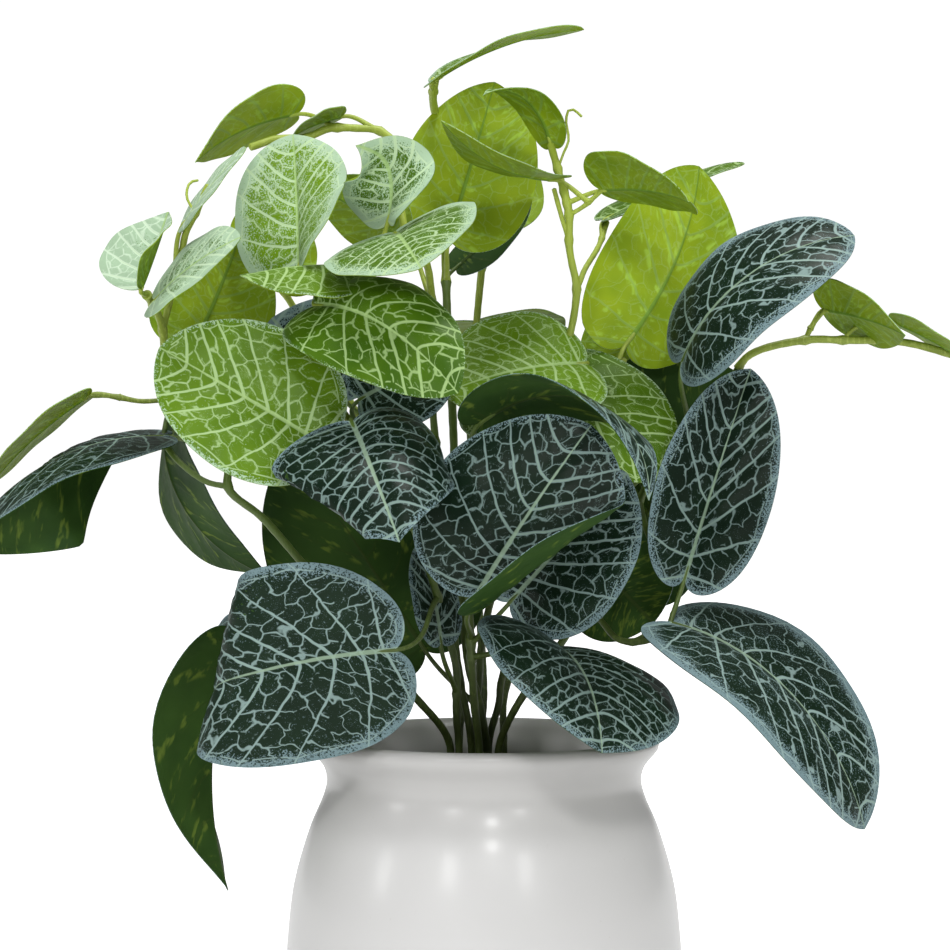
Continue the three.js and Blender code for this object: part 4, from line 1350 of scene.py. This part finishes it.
            Leaf(LIME, (-92, 74, 378), (-85, 96, 409), (-0.2, 0.9, 0.4), 44),
        ],
    ),
    LeafyStem(
        name="back_right_stem", foot=(8, 11), radius=1.7,
        dark=[(8, 11, 182), (9, 30, 200), (26, 55, 236), (50, 70, 270), (60, 74, 296)],
        lime=[(66, 75, 320), (72, 74, 335), (78, 72, 349)],
        leaves=[
            Leaf(DARK, (58, 72, 266), (98, 108, 252), (0.5, 0.75, 0.4), 62),
            Leaf(DARK, (62, 74, 300), (100, 110, 310), (0.3, 0.8, 0.5), 62),
            Leaf(LIME, (79, 72, 352), (92, 104, 396), (0.3, 0.9, 0.3), 54),
            Leaf(LIME, (70, 76, 338), (54, 116, 366), (-0.2, 0.9, 0.4), 54),
        ],
    ),
    LeafyStem(
        name="back_stem", foot=(-1, 17), radius=1.8,
        dark=[(-1, 17, 182), (0, 34, 200), (-2, 62, 235), (-4, 78, 278), (-6, 85, 316)],
        lime=[(-5, 87, 330), (-2, 88, 365), (1, 84, 394)],
        leaves=[
            Leaf(DARK, (-6, 80, 254), (-36, 134, 228), (-0.3, 0.85, 0.45), 62),
            Leaf(DARK, (-1, 85, 276), (32, 134, 246), (0.3, 0.85, 0.45), 62),
            Leaf(DARK, (-1, 88, 304), (35, 132, 314), (0.3, 0.85, 0.45), 76),
            Leaf(LIME, (-3, 90, 356), (21, 134, 346), (0.3, 0.7, 0.6), 64),
            Leaf(LIME, (1, 84, 396), (-2, 112, 443), (0, 0.95, 0.3), 54),
        ],
    ),
]


@dataclass
class Vase:
    """The turned vase: its wall as radius and height, up the outside and down the inside."""

    outside: tuple[Pair, ...] = (
        (60, 20), (66.4, 40), (72, 60), (76.2, 75), (78.6, 92), (78, 108), (75.6, 127), (69.2, 149),
        (64.5, 160), (62.7, 167), (64, 173), (68, 178), (70, 181), (69, 184), (66.5, 185),
        (63.5, 184), (60.5, 180.5),
    )
    inside: tuple[Pair, ...] = (
        (57.8, 173), (58.4, 163), (65.5, 145), (71, 126), (73.4, 104), (72.4, 80), (61.5, 38),
        (49, 9),
    )
    foot: tuple[Pair, ...] = ((0, 0), (49.5, 0), (51, 0.4), (52, 1.6))
    floor: float = 7
    step: float = 2.4
    sides: int = 144

    def build(self, finish: bpy.types.Material) -> None:
        """Make and dress the vase."""
        places = [(r, 0, z) for r, z in [self.foot[-1], *self.outside, *self.inside]]
        wall = smooth_path(places, self.step)[:, [0, 2]]
        made = MeshParts()
        made.add(*lathe(np.vstack([self.foot[:-1], wall, (0, self.floor)]), self.sides))
        settle(made.piece("glazed_vase", finish, 50.0), "vase")


@dataclass
class Peat:
    """The peat in the vase: a crumbly mound on a plain fill.

    The mound starts at the rim, drop below the solid's top. Its lumps are rows of size and height,
    each the sum of a few waves, which calm divides, and they sink by settled. The crumbs lie in it
    by crumb_sunk, each roughened and squashed by a share between two.
    """

    wall: tuple[Pair, ...] = (
        (48, 9.6), (60.6, 38), (71.4, 80), (72.4, 104), (70.1, 126), (64.6, 145), (58.6, 159),
    )
    floor: float = 7.6
    rim: float = 57.6
    top: float = 161
    rise: float = 2.2
    drop: float = 0.6
    rings: int = 34
    sides: int = 120
    lumps: tuple[Pair, ...] = ((9, 0.5), (4, 0.4), (2, 0.3))
    waves: int = 24
    wave_scale: float = 2.2
    calm: float = 4.9
    settled: float = 0.4
    crumbs: int = 420
    crumb_sunk: float = 0.7
    crumb_sizes: Pair = (0.7, 2.0)
    crumb_rough: Pair = (0.75, 1.15)
    crumb_squash: Pair = (0.6, 1.1)

    def _mound(self, draw: np.random.Generator) -> Shell:
        """Return the fill with its lumpy top."""
        shares = np.linspace(1, 0, self.rings)
        peak = self.top - self.drop
        mound = [(self.rim * s, peak + self.rise * (1 - s * s)) for s in shares[:-1]]
        profile = np.array([(0, self.floor), *self.wall, *mound, (0, peak + self.rise)])
        corners, faces = lathe(profile, self.sides)
        surface = corners[:, 2] > self.top - 1.5
        bumps = np.zeros(len(corners))
        for size, high in self.lumps:
            waves = draw.normal(0, 1 / size, (self.waves, 2))
            phases = draw.uniform(0, ROUND, self.waves)
            ripples = np.cos(corners[:, :2] @ waves.T * self.wave_scale + phases)
            bumps += high * ripples.sum(axis=1) / self.calm
        corners[:, 2] += np.where(surface, bumps - self.settled, 0)
        return corners, faces

    def build(self, finish: bpy.types.Material) -> None:
        """Make and dress the peat."""
        draw = np.random.default_rng(5)
        made = MeshParts()
        made.add(*self._mound(draw))
        for _ in range(self.crumbs):
            angle, far = draw.uniform(0, ROUND), self.rim * math.sqrt(draw.uniform(0, 0.93))
            size = draw.uniform(*self.crumb_sizes)
            height = self.top + self.rise * (1 - (far / self.rim) ** 2) - self.crumb_sunk
            spot = np.array([far * math.cos(angle), far * math.sin(angle), height])
            made.add(*self._crumb(spot, size, draw))
        settle(made.piece("peat_fill", finish, 80.0), "peat")

    def _crumb(self, spot: np.ndarray, size: float, draw: np.random.Generator) -> Shell:
        """Return one rough crumb with twelve corners round a spot."""
        # The corners of this twenty-faced solid lie about 1.9 out, and its edges are 2 long.
        tall, reach, edge = (1 + 5**0.5) / 2, 1.9, 2.1
        pairs = [(a, b) for a in (-1, 1) for b in (-tall, tall)]
        corners = np.array([p for a, b in pairs for p in ((0, a, b), (a, b, 0), (b, 0, a))], float)
        near = np.linalg.norm(corners[:, None] - corners, axis=2) < edge
        faces = []
        for i, j, k in combinations(range(len(corners)), 3):
            if near[i, j] and near[j, k] and near[i, k]:
                out = np.cross(corners[j] - corners[i], corners[k] - corners[i]) @ corners[i]
                faces.append((i, j, k) if out > 0 else (i, k, j))
        rough = corners / reach * draw.uniform(*self.crumb_rough, (len(corners), 1))
        return spot + rough * draw.uniform(*self.crumb_squash, 3) * size, faces


@dataclass(frozen=True)
class Finishes:
    """Every finished material of the plant."""

    blades: dict[Tone, bpy.types.Material]
    stalks: dict[Tone, bpy.types.Material]
    glaze: bpy.types.Material
    peat: bpy.types.Material


@dataclass(frozen=True)
class Lamp:
    """A soft rectangular lamp that looks at the plant."""

    name: str
    place: Triple
    size: Pair
    power: float
    aim: Triple = (0.0, 0.0, 0.28)

    def build(self) -> None:
        """Add the lamp."""
        data = bpy.data.lights.new(self.name, "AREA")
        data.shape = "RECTANGLE"
        data.size, data.size_y = self.size
        data.energy = self.power
        made = bpy.data.objects.new(self.name, data)
        made.location = self.place
        toward = Vector([a - b for a, b in zip(self.aim, self.place)])
        made.rotation_euler = toward.to_track_quat("-Z", "Y").to_euler()
        bpy.context.scene.collection.objects.link(made)


@dataclass(frozen=True)
class Studio:
    """White floor, white surroundings, soft lamps and the camera.

    world is the strength that lights the plant, and backdrop the one that the camera sees.
    floor_mm is half the floor's side.
    """

    lamps: tuple[Lamp, ...] = (
        Lamp("left", (-1.3, -0.6, 0.6), (0.22, 0.2), 2.2),
        Lamp("key", (-0.55, -1.35, 0.8), (0.22, 0.2), 3.6),
        Lamp("right", (0.64, -1.3, 0.8), (0.2, 0.2), 3.0),
        Lamp("high", (0.12, -1.25, 0.98), (0.16, 0.16), 5.0),
        Lamp("top", (0.1, -0.15, 1.9), (0.6, 0.6), 24.0),
    )
    world: float = 0.22
    backdrop: float = 1.05
    floor_mm: float = 9000.0
    eye: Triple = (-0.0036, -0.969, 0.2886)
    lens: float = 91.8
    sensor: float = 36.0
    clip: Pair = (0.05, 50.0)

    def _floor(self) -> None:
        """Add the floor."""
        far = self.floor_mm
        made = MeshParts()
        corners = [(-far, -far, 0), (far, -far, 0), (far, far, 0), (-far, far, 0)]
        made.add(np.array(corners), [(0, 1, 2, 3)])
        made.piece("floor", FloorFinish().build())

    def _world(self) -> bpy.types.World:
        """Return white surroundings that the camera sees brighter than they shine."""
        g = Graph(bpy.data.worlds.new("studio"))
        seen = g.node("LightPath", out="Is Camera Ray")
        ends = {"Value": seen, "To Min": self.world, "To Max": self.backdrop}
        white = {"Color": (1.0, 1.0, 1.0, 1.0), "Strength": g.node("MapRange", None, ends)}
        return g.close(g.node("Background", None, white))

    def _camera(self) -> bpy.types.Object:
        """Return a level camera that looks at the plant from the front."""
        data = bpy.data.cameras.new("camera")
        data.lens, data.sensor_width = self.lens, self.sensor
        data.clip_start, data.clip_end = self.clip
        camera = bpy.data.objects.new("camera", data)
        camera.location = self.eye
        camera.rotation_euler = (math.pi / 2, 0.0, 0.0)
        bpy.context.scene.collection.objects.link(camera)
        return camera

    def build(self) -> None:
        """Add the floor, the lights and the camera."""
        scene = bpy.context.scene
        scene.view_settings.view_transform = "Standard"
        self._floor()
        scene.world = self._world()
        for lamp in self.lamps:
            lamp.build()
        scene.camera = self._camera()


def main() -> None:
    """Build the plant, its vase and the studio."""
    logging.basicConfig(level=logging.INFO, format="%(message)s")
    finishes = Finishes(
        blades={DARK: DARK_BLADE.build(), LIME: LIME_BLADE.build()},
        stalks={DARK: DARK_STALK.build(), LIME: LIME_STALK.build()},
        glaze=GlazeFinish().build(),
        peat=PeatFinish().build(),
    )
    seed = 1
    for stem in PLANT:
        stem.build(finishes, seed)
        seed += len(stem.leaves)
    Vase().build(finishes.glaze)
    Peat().build(finishes.peat)
    Studio().build()


if __name__ == "__main__":
    main()
